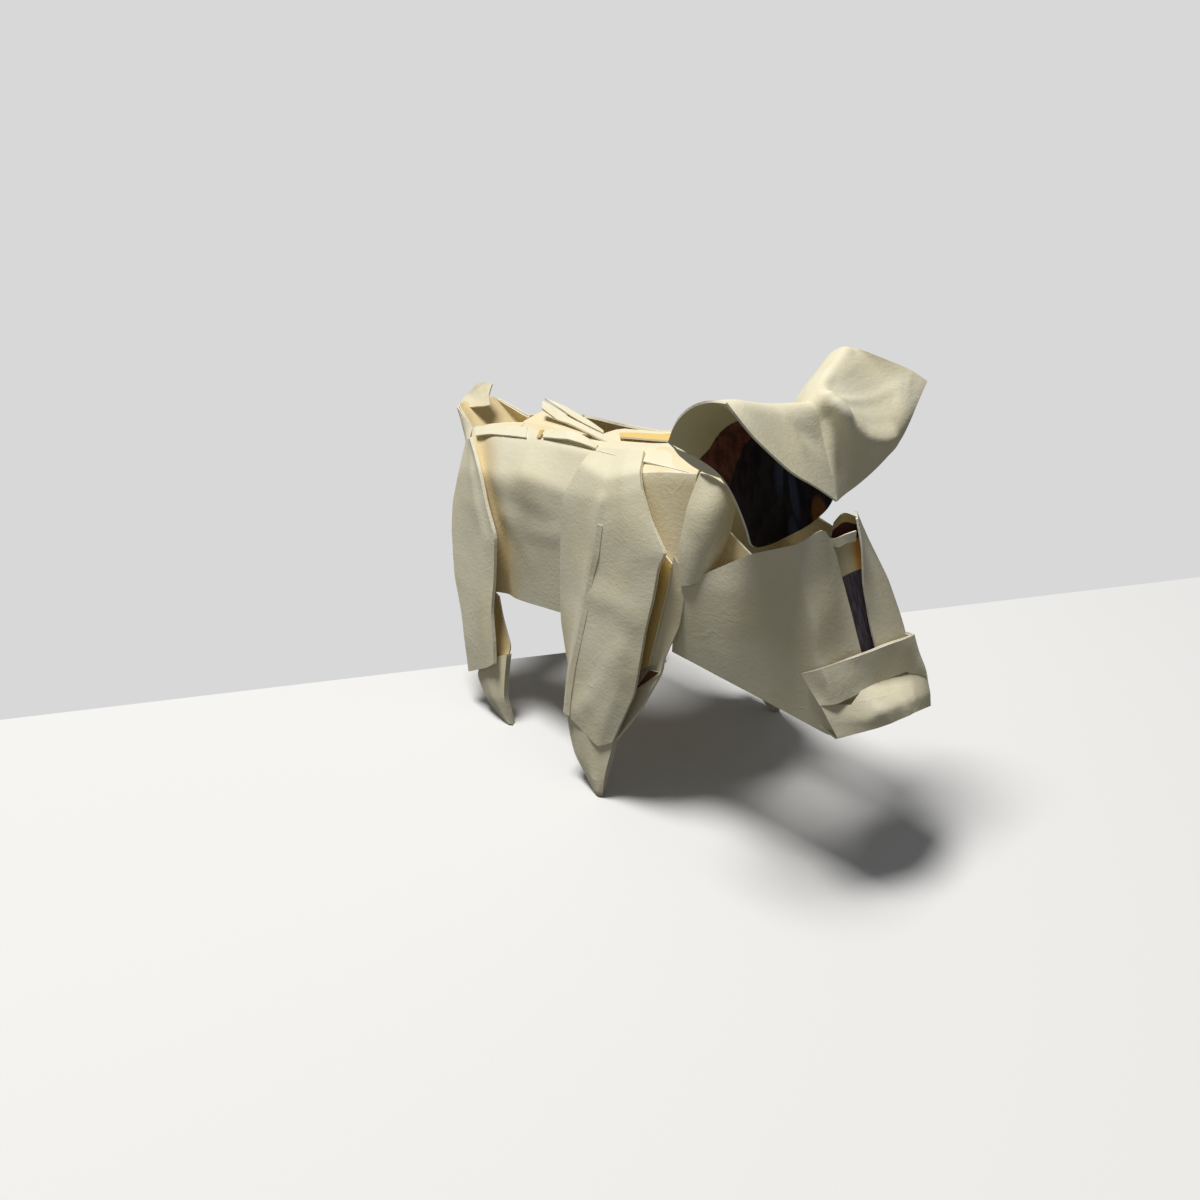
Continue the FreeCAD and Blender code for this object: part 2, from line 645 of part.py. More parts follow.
LEFT_EAR = [
    [(-1.2, 0.59, -0.10), (-3.9, 0.25, 0.33), (-3.6, 0.25, 0.90), (3.6, 0.25, 0.78), (-1.3, 0.25, 0.09)],
    [(-1.4, 0.62, 0.22), (-5.5, 0.48, 0.64), (-4.3, 0.50, 0.98), (2.9, 0.50, 0.83), (-3.6, 0.50, 0.0)],
    [(-3.0, 0.62, 0.46), (-7.4, 0.55, 0.80), (-4.1, 0.66, 1.06), (3.0, 0.76, 0.80), (-5.8, 0.77, 0.02)],
    [(-6.8, 0.64, 0.63), (-6.9, 0.62, 0.86), (-4.6, 0.69, 1.02), (0.6, 0.87, 0.89), (-2.6, 1.0, 0.77)],
]


def ear_section(side, section):
    """The poles of one section of the hood, on one side of the middle plane."""
    rise = size.ear_height - size.brow_height
    poles = []
    for i, (ahead, out, share) in enumerate(section):
        start = size.brow_station if i == len(section) - 1 else size.ear_root
        height = size.brow_height + share * rise
        poles.append(vector(start + ahead, side * out * size.ear_half, height))
    return poles


def hood():
    """Both ears: one hood curled from cheek to cheek, pinched on the middle plane. Beside
    the middle section the back edge starts at the top of each cheek."""
    root = size.ear_root
    columns = [ear_section(1, MIDDLE_SECTION)]
    for section in LEFT_EAR:
        columns.append(ear_section(1, section))
    for section in RIGHT_EAR:
        columns.insert(0, ear_section(-1, section))
    middle = len(RIGHT_EAR)
    for side in (-1, 1):
        out = side * (cheek_out(root) + 1.3)
        columns[middle + side][0] = vector(root + 0.5, out, size.brow_height - 7.0)
    return curled_sheet(columns, size.sheet_thick)


# ---- the whole sheet ---------------------------------------------------------------


def folded_sheet():
    body_pairs = [
        trunk_side(), front_leg(), front_lining(), shoulder_layer(), front_hoof(), hind_leg(),
        hind_lining(), haunch_fold(), hind_hoof(), collar(), chest_panel(),
    ]
    head_pairs = [neck_fold(), head_side()]
    body = [rump(), tail(), saddle(), back_strip(), strip_lining(), chest()]
    head = [slit_lining(), snout(), chin()]
    body += body_pairs + [mirrored(solid) for solid in body_pairs]
    head += head_pairs + [mirrored(solid) for solid in head_pairs]
    flaps = body + [hung(solid) for solid in head] + [hood()]
    for number, flap in enumerate(flaps):
        if not flap.isValid() or flap.Volume <= 0:
            raise RuntimeError("flap %d of the sheet is not a sound solid" % number)
    whole = flaps[0].multiFuse(flaps[1:])
    floor = Part.makeBox(400, 400, 20, vector(-200, -200, -20))
    whole = whole.cut(floor).removeSplitter()
    if len(whole.Solids) != 1:
        raise RuntimeError("the folds no longer join: %d pieces" % len(whole.Solids))
    return whole.Solids[0]


pig = doc.addObject("Part::Feature", "origami_pig")
pig.Label = "origami_pig"
pig.Shape = folded_sheet()
box = pig.Shape.BoundBox
pig.Placement = FreeCAD.Placement(vector(-box.Center.x, -box.Center.y, -box.ZMin), FreeCAD.Rotation())
doc.recompute()

for item in doc.Objects:
    if "Invalid" in item.State or "Error" in item.State:
        raise RuntimeError(item.Label + " failed")
if pig.Shape.isNull() or not pig.Shape.isValid():
    raise RuntimeError("origami_pig has no sound shape")

os.makedirs("parts", exist_ok=True)
pig.Shape.exportStep("parts/%s.step" % pig.Label)
box = pig.Shape.BoundBox
mass = pig.Shape.CenterOfMass
print("origami_pig %.1f x %.1f x %.1f mm, volume %.0f mm3, centre of mass %.1f %.1f %.1f"
      % (box.XLength, box.YLength, box.ZLength, pig.Shape.Volume, mass.x, mass.y, mass.z))
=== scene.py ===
# %% [markdown]
# # Origami pig
# A small pig stands on four folded points. It is one square of paper, cream on the outside and
# printed on the inside, folded into packed layers and never cut apart. The lesson builds it as
# the folder sees it: flap by flap, each flap a sheet that starts as a few lines of points, and
# all of them joined into one piece at the end.

# %% The frame
import math

import bpy
import numpy as np
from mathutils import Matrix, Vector
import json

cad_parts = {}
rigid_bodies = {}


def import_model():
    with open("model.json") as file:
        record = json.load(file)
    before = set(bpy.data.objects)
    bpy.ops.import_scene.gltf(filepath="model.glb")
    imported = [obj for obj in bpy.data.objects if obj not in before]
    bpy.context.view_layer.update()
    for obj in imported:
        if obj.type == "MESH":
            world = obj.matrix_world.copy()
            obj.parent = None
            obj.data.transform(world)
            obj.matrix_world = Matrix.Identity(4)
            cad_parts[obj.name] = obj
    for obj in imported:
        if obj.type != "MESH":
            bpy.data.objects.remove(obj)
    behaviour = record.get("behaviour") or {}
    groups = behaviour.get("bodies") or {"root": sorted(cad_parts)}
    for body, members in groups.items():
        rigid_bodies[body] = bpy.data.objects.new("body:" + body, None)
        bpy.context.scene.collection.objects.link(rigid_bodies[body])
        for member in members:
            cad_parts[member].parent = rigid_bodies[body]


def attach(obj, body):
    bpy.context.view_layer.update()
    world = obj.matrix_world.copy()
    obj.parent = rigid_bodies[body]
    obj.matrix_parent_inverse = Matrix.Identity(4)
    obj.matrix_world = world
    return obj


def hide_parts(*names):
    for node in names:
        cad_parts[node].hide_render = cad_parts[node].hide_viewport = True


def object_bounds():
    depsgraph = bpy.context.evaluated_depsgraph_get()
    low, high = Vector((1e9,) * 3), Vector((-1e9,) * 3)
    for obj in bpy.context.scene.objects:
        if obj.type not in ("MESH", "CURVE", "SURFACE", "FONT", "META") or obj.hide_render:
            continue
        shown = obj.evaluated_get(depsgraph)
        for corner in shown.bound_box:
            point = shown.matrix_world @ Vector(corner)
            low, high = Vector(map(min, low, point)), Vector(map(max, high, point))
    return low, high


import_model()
cad_low, cad_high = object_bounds()
print("CAD box", [round(v, 4) for v in cad_low], [round(v, 4) for v in cad_high])

# %% [markdown]
# ## Stations and heights
# A folder works from a fold plan: stations along the animal, distance from its middle plane and
# height above the table, in millimetres. The plan's tail end sits at station -49.24, so one
# shift ties the plan to the model's own box. Most folds come in pairs, so they are drawn once,
# for the left side, and mirrored for the right.

# %% From the fold plan to the scene
MM = 0.001
PLAN_TAIL = -49.24
RIGHT, LEFT = -1, 1
shift = cad_low[0] / MM - PLAN_TAIL


def net(text):
    """The lines of points that a table gives: x y z, with commas between points and
    semicolons between lines."""
    return [[tuple(float(v) for v in point.split()) for point in line.split(",")]
            for line in text.split(";")]


def to_side(line, side):
    """The same line on the pig's left or right."""
    return [Vector((p[0], side * p[1], p[2])) for p in line]


def across(line):
    """A line from the middle plane outwards, continued over to the other side."""
    return to_side([p for p in reversed(line) if p[1] > 0], RIGHT) + to_side(line, LEFT)


print("plan shift %.2f mm" % shift)

# %% [markdown]
# ## Camera
# The camera stands close, a little above the back, and looks down at the right shoulder. It
# comes first, because every later judgement of size and light is made through it.

# %% Camera
CAMERA_PLACE = (0.1354, -0.1252, 0.110)
CAMERA_TILT, CAMERA_TURN = 65.0, 49.75

camera_data = bpy.data.cameras.new("camera")
camera_data.sensor_width = 36.0
camera_data.lens = 36.0
camera_data.clip_start = 0.01
camera = bpy.data.objects.new("camera", camera_data)
camera.location = CAMERA_PLACE
camera.rotation_euler = (math.radians(CAMERA_TILT), 0.0, math.radians(CAMERA_TURN))
bpy.context.collection.objects.link(camera)
bpy.context.scene.camera = camera
print("camera", tuple(round(v, 4) for v in camera.location))

# %% [markdown]
# ## Nodes in few words
# Every look and every flap is made by nodes, so the lesson first gives names to the handful of
# moves it repeats: place a node, mix two colours, multiply, step smoothly, read a noise.

# %% Node helpers
def node(tree, kind, links=(), **settings):
    """The outputs of a new node, with its properties set and its inputs linked or filled."""
    made = tree.nodes.new(kind)
    for name, value in settings.items():
        setattr(made, name, value)
    for label, value in links:
        if isinstance(value, bpy.types.NodeSocket):
            tree.links.new(value, made.inputs[label])
        else:
            made.inputs[label].default_value = value
    return made.outputs


def colour(red, green, blue):
    """A linear colour from the 0-255 values that a paint chart gives."""
    shares = [v / 255.0 for v in (red, green, blue)]
    return (*(v / 12.92 if v <= 0.04045 else ((v + 0.055) / 1.055) ** 2.4 for v in shares), 1.0)


def mixed(tree, factor, first, second):
    """First where factor is 0, second where it is 1; each a socket or a linear colour."""
    links = [("Factor", factor), ("A", first), ("B", second)]
    return node(tree, "ShaderNodeMix", links, data_type="RGBA")["Result"]


def maths(tree, operation, first, second, clamp=False):
    """The result of a Math node on two sockets or numbers."""
    return node(tree, "ShaderNodeMath", [(0, first), (1, second)],
                operation=operation, use_clamp=clamp)[0]


def times(tree, first, second, clamp=False):
    """The product of two sockets or numbers."""
    return maths(tree, "MULTIPLY", first, second, clamp)


def ramp(tree, value, start, end, low=0.0, high=1.0):
    """A smooth step from low to high as the value goes from start to end."""
    links = [("Value", value), ("From Min", start), ("From Max", end), ("To Min", low),
             ("To Max", high)]
    return node(tree, "ShaderNodeMapRange", links, interpolation_type="SMOOTHSTEP")["Result"]


def noise(tree, where, scale, detail=3.0, rough=0.55, stretch=None):
    """A Noise Texture's value at the given coordinates, per metre."""
    if stretch:
        links = [("Vector", where), ("Scale", stretch)]
        where = node(tree, "ShaderNodeMapping", links)["Vector"]
    links = [("Vector", where), ("Scale", scale), ("Detail", detail), ("Roughness", rough)]
    return node(tree, "ShaderNodeTexNoise", links)["Fac"]


def on_object(tree):
    """Where a point lies on the object, in metres."""
    return node(tree, "ShaderNodeTexCoord")["Object"]


def flap_value(tree, name):
    """A number that the flaps carry on their points."""
    return node(tree, "ShaderNodeAttribute", attribute_name=name)["Fac"]


print("white paint is", [round(v, 3) for v in colour(255, 255, 255)])

# %% [markdown]
# ## Table, light and air
# Paper is judged by its shadows. One broad lamp hangs almost straight above, a little towards
# the tail, so the ears shade the face and every fold that faces sideways turns grey. A pale
# table and a dim grey world fill those shadows. The table and the world look brighter to the
# camera than to the paper, so that the pale setting doesn't wash the folds out.

# %% Table top
WALL_LEFT, WALL_RIGHT = Vector((-0.0752, -0.0873, 0.0)), Vector((0.0337, 0.1388, 0.0))
TABLE_MARGIN, TABLE_DEPTH = 0.8, 1.6
TABLE_TO_PAPER = (0.19, 0.19, 0.18, 1.0)
TABLE_TO_CAMERA = (0.81, 0.81, 0.81, 1.0)

wall_line = (WALL_RIGHT - WALL_LEFT).normalized()
front = Vector((wall_line.y, -wall_line.x, 0.0))
back_left = WALL_LEFT - TABLE_MARGIN * wall_line
back_right = WALL_RIGHT + TABLE_MARGIN * wall_line
corners = [back_left, back_left + TABLE_DEPTH * front, back_right + TABLE_DEPTH * front,
           back_right]
floor_mesh = bpy.data.meshes.new("table_top")
floor_mesh.from_pydata([tuple(corner) for corner in corners], [], [(0, 1, 2, 3)])
floor = bpy.data.objects.new("table_top", floor_mesh)
bpy.context.collection.objects.link(floor)

table = bpy.data.materials.new("pale_table")
table.use_nodes = True
tree = table.node_tree
finish = tree.nodes["Principled BSDF"]
finish.inputs["Roughness"].default_value = 0.9
finish.inputs["Specular IOR Level"].default_value = 0.1
seen = node(tree, "ShaderNodeLightPath")["Is Camera Ray"]
tree.links.new(mixed(tree, seen, TABLE_TO_PAPER, TABLE_TO_CAMERA), finish.inputs["Base Color"])
floor_mesh.materials.append(table)
print("table top laid")

# %% Lamp and world
LAMP_POWER, AIR_STRENGTH = 8.9, 0.14

lamp_data = bpy.data.lights.new("ceiling_lamp", "AREA")
lamp_data.shape = "DISK"
lamp_data.size = 0.30
lamp_data.energy = LAMP_POWER
lamp_data.color = (1.0, 0.985, 0.955)
lamp = bpy.data.objects.new("ceiling_lamp", lamp_data)
lamp.location = (-0.165, -0.115, 0.92)
aim = Vector((0.01, 0.0, 0.03)) - lamp.location
lamp.rotation_euler = aim.to_track_quat("-Z", "Y").to_euler()
bpy.context.collection.objects.link(lamp)

world = bpy.data.worlds.new("grey_air")
bpy.context.scene.world = world
world.use_nodes = True
tree = world.node_tree
tree.nodes.clear()
air = node(tree, "ShaderNodeBackground",
           [("Color", (0.93, 0.96, 1.0, 1.0)), ("Strength", AIR_STRENGTH)])
wall = node(tree, "ShaderNodeBackground", [("Color", colour(216, 216, 217)), ("Strength", 1.0)])
seen = node(tree, "ShaderNodeLightPath")["Is Camera Ray"]
blend = node(tree, "ShaderNodeMixShader", [(0, seen), (1, air[0]), (2, wall[0])])
node(tree, "ShaderNodeOutputWorld", [("Surface", blend[0])])
bpy.context.scene.view_settings.view_transform = "Standard"
print("lamp %.1f W, world %.2f" % (LAMP_POWER, AIR_STRENGTH))

# %% [markdown]
# ## Paper: tooth and folds
# Good drawing paper has a tooth: a soft felt-like relief about a millimetre across with a finer
# grain on it, and faint clouds where the pulp lay thicker. Where it has been folded, the
# surface breaks and the fibres show pale along a ridge; that pale line is worn fibre and also a
# painted highlight. A valley is painted darker, as painted shade, and so, faintly, are the
# wrinkle cracks. These effects belong to every kind of paper here, so each is a node group that
# gives out only masks and heights.

# %% Node group: paper tooth
def group_of(name, control, outputs):
    """An empty shader node group with one control, at 1, and named outputs."""
    tree = bpy.data.node_groups.new(name, "ShaderNodeTree")
    socket = tree.interface.new_socket(control, in_out="INPUT", socket_type="NodeSocketFloat")
    socket.default_value = 1.0
    for label in outputs:
        tree.interface.new_socket(label, in_out="OUTPUT", socket_type="NodeSocketFloat")
    return tree, node(tree, "NodeGroupInput")[control]


def give_out(tree, **sockets):
    """Link a group's results to its output and say how large it is."""
    node(tree, "NodeGroupOutput", sockets.items())
    print("group %s, %d nodes" % (tree.name, len(tree.nodes)))


tooth, grain = group_of("paper_tooth", "Grain", ("Height", "Clouds", "Specks"))
place = on_object(tooth)
felt = noise(tooth, place, 1150.0, 4.0, 0.6, (1.0, 1.0, 1.5))
fibres = noise(tooth, place, 4200.0, 2.0)
height = times(tooth, maths(tooth, "ADD", times(tooth, felt, 0.65), times(tooth, fibres, 0.35)),
               grain)
give_out(tooth, Height=height, Clouds=noise(tooth, place, 90.0, 4.0, 0.6),
         Specks=ramp(tooth, noise(tooth, place, 2600.0, 1.0), 0.70, 0.80))

# %% Node group: fold wear, painted highlight and painted shade
wear_highlight_and_shade, amount = group_of("fold_wear_highlight_and_shade", "Amount", ("Ridge", "Valley", "Wrinkles"))
bend = flap_value(wear_highlight_and_shade, "bend")
place = on_object(wear_highlight_and_shade)
patchy = ramp(wear_highlight_and_shade, noise(wear_highlight_and_shade, place, 420.0, 3.0), 0.30, 0.62)
# ridge mask: worn fibre and a painted highlight along convex bends
worn_lit_ridge = times(wear_highlight_and_shade, times(wear_highlight_and_shade, ramp(wear_highlight_and_shade, bend, 0.10, 0.34), patchy), amount, clamp=True)
# valley mask: painted shade along concave bends
painted_valley_shade = times(wear_highlight_and_shade, ramp(wear_highlight_and_shade, bend, -0.08, -0.34), amount, clamp=True)
swirl = node(wear_highlight_and_shade, "ShaderNodeTexNoise", [("Vector", place), ("Scale", 160.0)])
wobble = node(wear_highlight_and_shade, "ShaderNodeVectorMath",
              [(0, swirl["Color"]), (1, (0.004, 0.004, 0.004)), (2, place)],
              operation="MULTIPLY_ADD")
cells = node(wear_highlight_and_shade, "ShaderNodeTexVoronoi", [("Vector", wobble[0]), ("Scale", 150.0)],
             feature="DISTANCE_TO_EDGE")
# crack lines: relief, and in the colour a faint painted shade
cracks = ramp(wear_highlight_and_shade, cells["Distance"], 0.0, 0.05, 1.0, 0.0)
sparse = ramp(wear_highlight_and_shade, noise(wear_highlight_and_shade, place, 120.0, 2.0), 0.56, 0.70)
give_out(wear_highlight_and_shade, Ridge=worn_lit_ridge, Valley=painted_valley_shade, Wrinkles=times(wear_highlight_and_shade, cracks, sparse))

# %% [markdown]
# ## Cream paper
# The outside of the sheet. Layers deep inside a packed fold look warmer, because light reaches
# them only through other layers; that warmth is a painted glow, so each flap carries a glow
# number and the colour follows it. Fold ridges are paler, from worn fibre and a painted
# highlight, and valleys and wrinkle cracks are darker, as painted shade. Two spots are soiled
# by handling: the far ear's corner and the point of a foot.

# %% Helpers for materials
def near(tree, spot, inner, outer):
    """1 at a spot of the object, in metres, falling to 0 at its outer radius."""
    away = node(tree, "ShaderNodeVectorMath", [(0, on_object(tree)), (1, spot)],
                operation="DISTANCE")
    return ramp(tree, away["Value"], inner, outer, 1.0, 0.0)


def paper(name, grain, rough, relief):
    """A paper material with its relief in place; its tree and the masks that colour it."""
    made = bpy.data.materials.new(name)
    made.use_nodes = True
    tree = made.node_tree
    surface = node(tree, "ShaderNodeGroup", [("Grain", grain)], node_tree=tooth)
    masks = {**surface, **node(tree, "ShaderNodeGroup", node_tree=wear_highlight_and_shade)}
    height = maths(tree, "ADD", masks["Height"], times(tree, masks["Wrinkles"], 0.25))
    bump = node(tree, "ShaderNodeBump",
                [("Strength", relief), ("Distance", 0.00012), ("Height", height)])
    finish = tree.nodes["Principled BSDF"]
    finish.inputs["Specular IOR Level"].default_value = 0.25
    tree.links.new(bump["Normal"], finish.inputs["Normal"])
    sheen = ramp(tree, masks["Clouds"], 0.3, 0.7, rough - 0.06, rough + 0.06)
    tree.links.new(sheen, finish.inputs["Roughness"])
    return made, tree, masks


def tinted(tree, mask, first, second):
    """Two paints, each of 0-255 values, mixed by a mask."""
    return mixed(tree, mask, colour(*first), colour(*second))


def washed(tree, base, washes):
    """The base with washes laid over it in turn, each a mask, its share and a paint."""
    for mask, share, paint in washes:
        factor = mask if share == 1.0 else times(tree, mask, share)
        base = mixed(tree, factor, base, colour(*paint))
    return base


def coat(tree, paint):
    """Give a paper its colour and say how many nodes it took."""
    tree.links.new(paint, tree.nodes["Principled BSDF"].inputs["Base Color"])
    print("paper of %d nodes" % len(tree.nodes))


# %% Cream paper
cream, tree, masks = paper("cream_paper", 1.0, 0.80, 0.75)
pulp = tinted(tree, ramp(tree, masks["Clouds"], 0.32, 0.68), (236, 230, 205), (231, 222, 191))
rubbed = times(tree, near(tree, (0.0364, 0.0202, 0.0656), 0.0005, 0.0050),
               ramp(tree, masks["Clouds"], 0.40, 0.58))
coat(tree, washed(tree, pulp, [
    (masks["Specks"], 0.10, (190, 170, 125)),
    # painted glow: a warm tint that stands in for light passing through and between layers
    (flap_value(tree, "painted_glow_share"), 1.0, (232, 199, 124)),
    # valleys: painted shade
    (masks["Valley"], 0.22, (196, 172, 120)),
    # ridges: worn fibre, paler, and a painted highlight
    (masks["Ridge"], 0.55, (246, 243, 230)),
    # wrinkle cracks: a faint painted shade
    (masks["Wrinkles"], 0.06, (206, 190, 150)),
    (rubbed, 1.0, (158, 136, 100)),
    (near(tree, (0.0122, -0.0206, 0.0), 0.0003, 0.0016), 1.0, (92, 74, 54)),
]))

# %% Warm cream for the inner faces: a painted glow of light through the layers
painted_glow_cream, tree, masks = paper("painted_glow_cream", 1.0, 0.80, 0.5)
coat(tree, tinted(tree, masks["Clouds"], (242, 224, 178), (236, 214, 162)))

# %% [markdown]
# ## Printed side
# The square was cut from a printed page, so its inner side shows plain fields of colour: bare
# cream at the margin, a red-brown band, then a near-black navy with soft slate blooms, and one
# ochre patch. The fields are drawn in the sheet's own UV map, so they curl with the ears.

# %% Printed paper
def sheet_place(tree):
    """The sheet's own coordinates: both, then across and along, each from 0 to 1."""
    uv = node(tree, "ShaderNodeUVMap", uv_map="sheet")["UV"]
    parts = node(tree, "ShaderNodeSeparateXYZ", [(0, uv)])
    return uv, parts["X"], parts["Y"]


def disc(tree, uv, centre, radii, soft):
    """1 inside an ellipse of the sheet, soft at its rim."""
    offset = node(tree, "ShaderNodeVectorMath", [(0, uv), (1, (*centre, 0.0))],
                  operation="SUBTRACT")
    size = node(tree, "ShaderNodeVectorMath", [(0, offset[0]), (1, (*radii, 1.0))],
                operation="DIVIDE")
    reach = node(tree, "ShaderNodeVectorMath", [(0, size[0])], operation="LENGTH")
    return ramp(tree, reach["Value"], 1.0 - soft, 1.0 + soft, 1.0, 0.0)


printed, tree, masks = paper("printed_paper", 0.8, 0.70, 0.45)
uv, u, v = sheet_place(tree)
feather = noise(tree, uv, 11.0, 4.0, 0.6, (1.0, 1.8, 1.0))
bare = tinted(tree, masks["Clouds"], (222, 208, 160), (232, 222, 182))
rust = tinted(tree, ramp(tree, feather, 0.38, 0.64), (92, 50, 38), (134, 80, 64))
navy = tinted(tree, ramp(tree, feather, 0.40, 0.62), (30, 25, 30), (60, 46, 48))
blooms = maths(tree, "MAXIMUM", disc(tree, uv, (-0.17, 0.06), (0.05, 0.050), 0.3),
               disc(tree, uv, (-0.10, 0.00), (0.05, 0.024), 0.3))
blooms = maths(tree, "MAXIMUM", blooms, disc(tree, uv, (0.00, 0.16), (0.05, 0.07), 0.4))
ochre = disc(tree, uv, (-0.36, 0.00), (0.06, 0.022), 0.2)
ink = washed(tree, navy, [(blooms, 0.85, (82, 92, 120)), (ochre, 1.0, (156, 100, 46))])
slant = maths(tree, "ADD", u, times(tree, v, 1.20))
slant = maths(tree, "ADD", slant, times(tree, feather, 0.03))
field = mixed(tree, ramp(tree, slant, 0.600, 0.612), ink, rust)
field = mixed(tree, ramp(tree, slant, 0.862, 0.874), field, bare)
# ridges on the print: worn ink, paler, and a painted highlight
coat(tree, washed(tree, field, [(masks["Ridge"], 0.5, (214, 205, 186))]))

# %% Slate strip, dark slot and raw edge
slate, tree, masks = paper("slate_print", 0.8, 0.66, 0.4)
uv, u, v = sheet_place(tree)
# The bare margin turns from cream to orange across the strip: a painted warm glow of light between
# the layers, in shade.
bare = tinted(tree, ramp(tree, u, 0.40, 0.15), (214, 203, 164), (222, 172, 92))
streaks = noise(tree, uv, 9.0, 4.0, 0.6, (3.0, 1.0, 1.0))
ink = tinted(tree, ramp(tree, streaks, 0.3, 0.7), (66, 57, 68), (112, 102, 112))
edge = maths(tree, "SUBTRACT", v, times(tree, u, 0.04))
field = mixed(tree, ramp(tree, edge, 0.415, 0.422), bare, ink)
coat(tree, washed(tree, field, [(ramp(tree, v, 0.19, 0.18), 1.0, (72, 28, 24)),
                                (ramp(tree, v, 0.075, 0.065), 1.0, (190, 168, 108))]))

rust_print, tree, masks = paper("rust_print", 0.8, 0.7, 0.4)
coat(tree, tinted(tree, masks["Clouds"], (82, 48, 32), (104, 64, 44)))

raw, tree, masks = paper("raw_edge", 1.4, 0.92, 0.8)
coat(tree, tinted(tree, masks["Clouds"], (240, 236, 220), (226, 218, 192)))

# %% [markdown]
# ## How a flap becomes paper
# Every flap follows the same rule, so one geometry tree makes them all. It subdivides the lines
# of points and keeps the folds sharp, stacks the imported layers a hair apart, presses shallow
# dents into them, gives each a thickness with a raw edge, and marks where the sheet bends, for
# the wear, the painted ridge highlight and the painted valley shade. Doing it in nodes keeps the
# fold plan short: a flap is a few lines of points and a handful of named sizes.

# %% The geometry tree
SUBDIVISIONS = 1
TREE_INPUTS = {
    "Geometry": "Geometry", "Fineness": "Int", "Layers": "Int", "Paper": "Float",
    "Stack": "Float", "Air": "Float", "Dents": "Float", "Facets": "Float", "Seed": "Float",
    "Outside": "Material", "Inside": "Material", "Edge": "Material",
}

fold_tree = bpy.data.node_groups.new("packed_paper", "GeometryNodeTree")
fold_tree.is_modifier = True
socket_ids = {}
for label, kind in TREE_INPUTS.items():
    socket = fold_tree.interface.new_socket(label, in_out="INPUT", socket_type="NodeSocket" + kind)
    socket_ids[label] = socket.identifier
fold_tree.interface.new_socket("Geometry", in_out="OUTPUT", socket_type="NodeSocketGeometry")
given = node(fold_tree, "NodeGroupInput")


def add(kind, links=(), **settings):
    """The outputs of a new geometry node of the folding tree."""
    return node(fold_tree, "GeometryNode" + kind, links, **settings)


def named(name):
    """The value of one of the flap's own attributes."""
    return add("InputNamedAttribute", [("Name", name)], data_type="FLOAT")["Attribute"]


def scaled(direction, amount):
    """A vector times a number."""
    return node(fold_tree, "ShaderNodeVectorMath", [(0, direction), ("Scale", amount)],
                operation="SCALE")["Vector"]


def number(operation, first, second):
    """A Math node on two sockets or numbers."""
    return maths(fold_tree, operation, first, second)


# %% Subdivide and stack
smooth = add("SubdivisionSurface",
             [("Mesh", given["Geometry"]), ("Level", given["Fineness"]),
              ("Edge Crease", named("sharpness"))], boundary_smooth="PRESERVE_CORNERS")
one = add("GeometryToInstance", [("Geometry", smooth["Mesh"])])
copies = add("DuplicateElements", [("Geometry", one[0]), ("Amount", given["Layers"])],
             domain="INSTANCE")
tagged = add("StoreNamedAttribute",
             [("Geometry", copies["Geometry"]), ("Name", "layer"),
              ("Value", copies["Duplicate Index"])], data_type="FLOAT", domain="INSTANCE")
stack = add("RealizeInstances", [("Geometry", tagged["Geometry"])])
print("stacking part of the tree ready")

# %% Press dents
SOFT_DENT, SHARP_DENT = 2.4, 1.6

layer = named("layer")
where = add("InputPosition")[0]
facing = add("InputNormal")[0]
per_facet = [("Vector", where), ("W", given["Seed"]),
             ("Scale", number("DIVIDE", 1.0, given["Facets"]))]
soft = node(fold_tree, "ShaderNodeTexNoise", per_facet + [("Detail", 2.0)],
            noise_dimensions="4D")["Fac"]
sharp = node(fold_tree, "ShaderNodeTexVoronoi", per_facet, voronoi_dimensions="4D",
             feature="SMOOTH_F1")["Distance"]
dent = number("ADD", number("MULTIPLY", number("SUBTRACT", soft, 0.5), SOFT_DENT),
              number("MULTIPLY", number("SUBTRACT", 0.5, sharp), SHARP_DENT))
dent = number("MULTIPLY", dent, given["Dents"])
depth = number("ADD", given["Paper"], given["Air"])
centre = number("MULTIPLY", number("SUBTRACT", given["Stack"], given["Paper"]), 0.5)
rise = number("ADD", dent, number("SUBTRACT", centre, number("MULTIPLY", layer, depth)))
pressed = add("SetPosition", [("Geometry", stack[0]), ("Offset", scaled(facing, rise))])
print("dents ready")

# %% Mark the bends, thicken, and give each side its paper
CRISP_ANGLE = 0.62
WELD = 1e-6

bent = add("InputMeshEdgeAngle")["Signed Angle"]
marked = add("StoreNamedAttribute", [("Geometry", pressed[0]), ("Name", "bend"), ("Value", bent)],
             data_type="FLOAT", domain="POINT")
half = number("MULTIPLY", given["Paper"], -0.5)
inward = scaled(add("InputNormal")[0], half)
lower = add("SetPosition", [("Geometry", marked["Geometry"]), ("Offset", inward)])
raised = add("ExtrudeMesh",
             [("Mesh", lower[0]), ("Offset Scale", given["Paper"]), ("Individual", False)],
             mode="FACES")
under = add("FlipFaces", [("Mesh", lower[0])])
both = add("JoinGeometry", [(0, under[0]), (0, raised["Mesh"])])
closed = add("MergeByDistance", [("Geometry", both[0]), ("Distance", WELD)])
shaded = add("SetShadeSmooth",
             [("Geometry", closed[0]), ("Shade Smooth", True)], domain="FACE")
turn = add("InputMeshEdgeAngle")["Unsigned Angle"]
steep = node(fold_tree, "FunctionNodeCompare", [("A", turn), ("B", CRISP_ANGLE)],
             data_type="FLOAT", operation="GREATER_THAN")[0]
crisp = add("SetShadeSmooth",
            [("Geometry", shaded[0]), ("Selection", steep), ("Shade Smooth", False)],
            domain="EDGE")
whole = add("RealizeInstances", [("Geometry", crisp[0])])
dressed = add("SetMaterial",
              [("Geometry", whole[0]), ("Material", given["Inside"])])
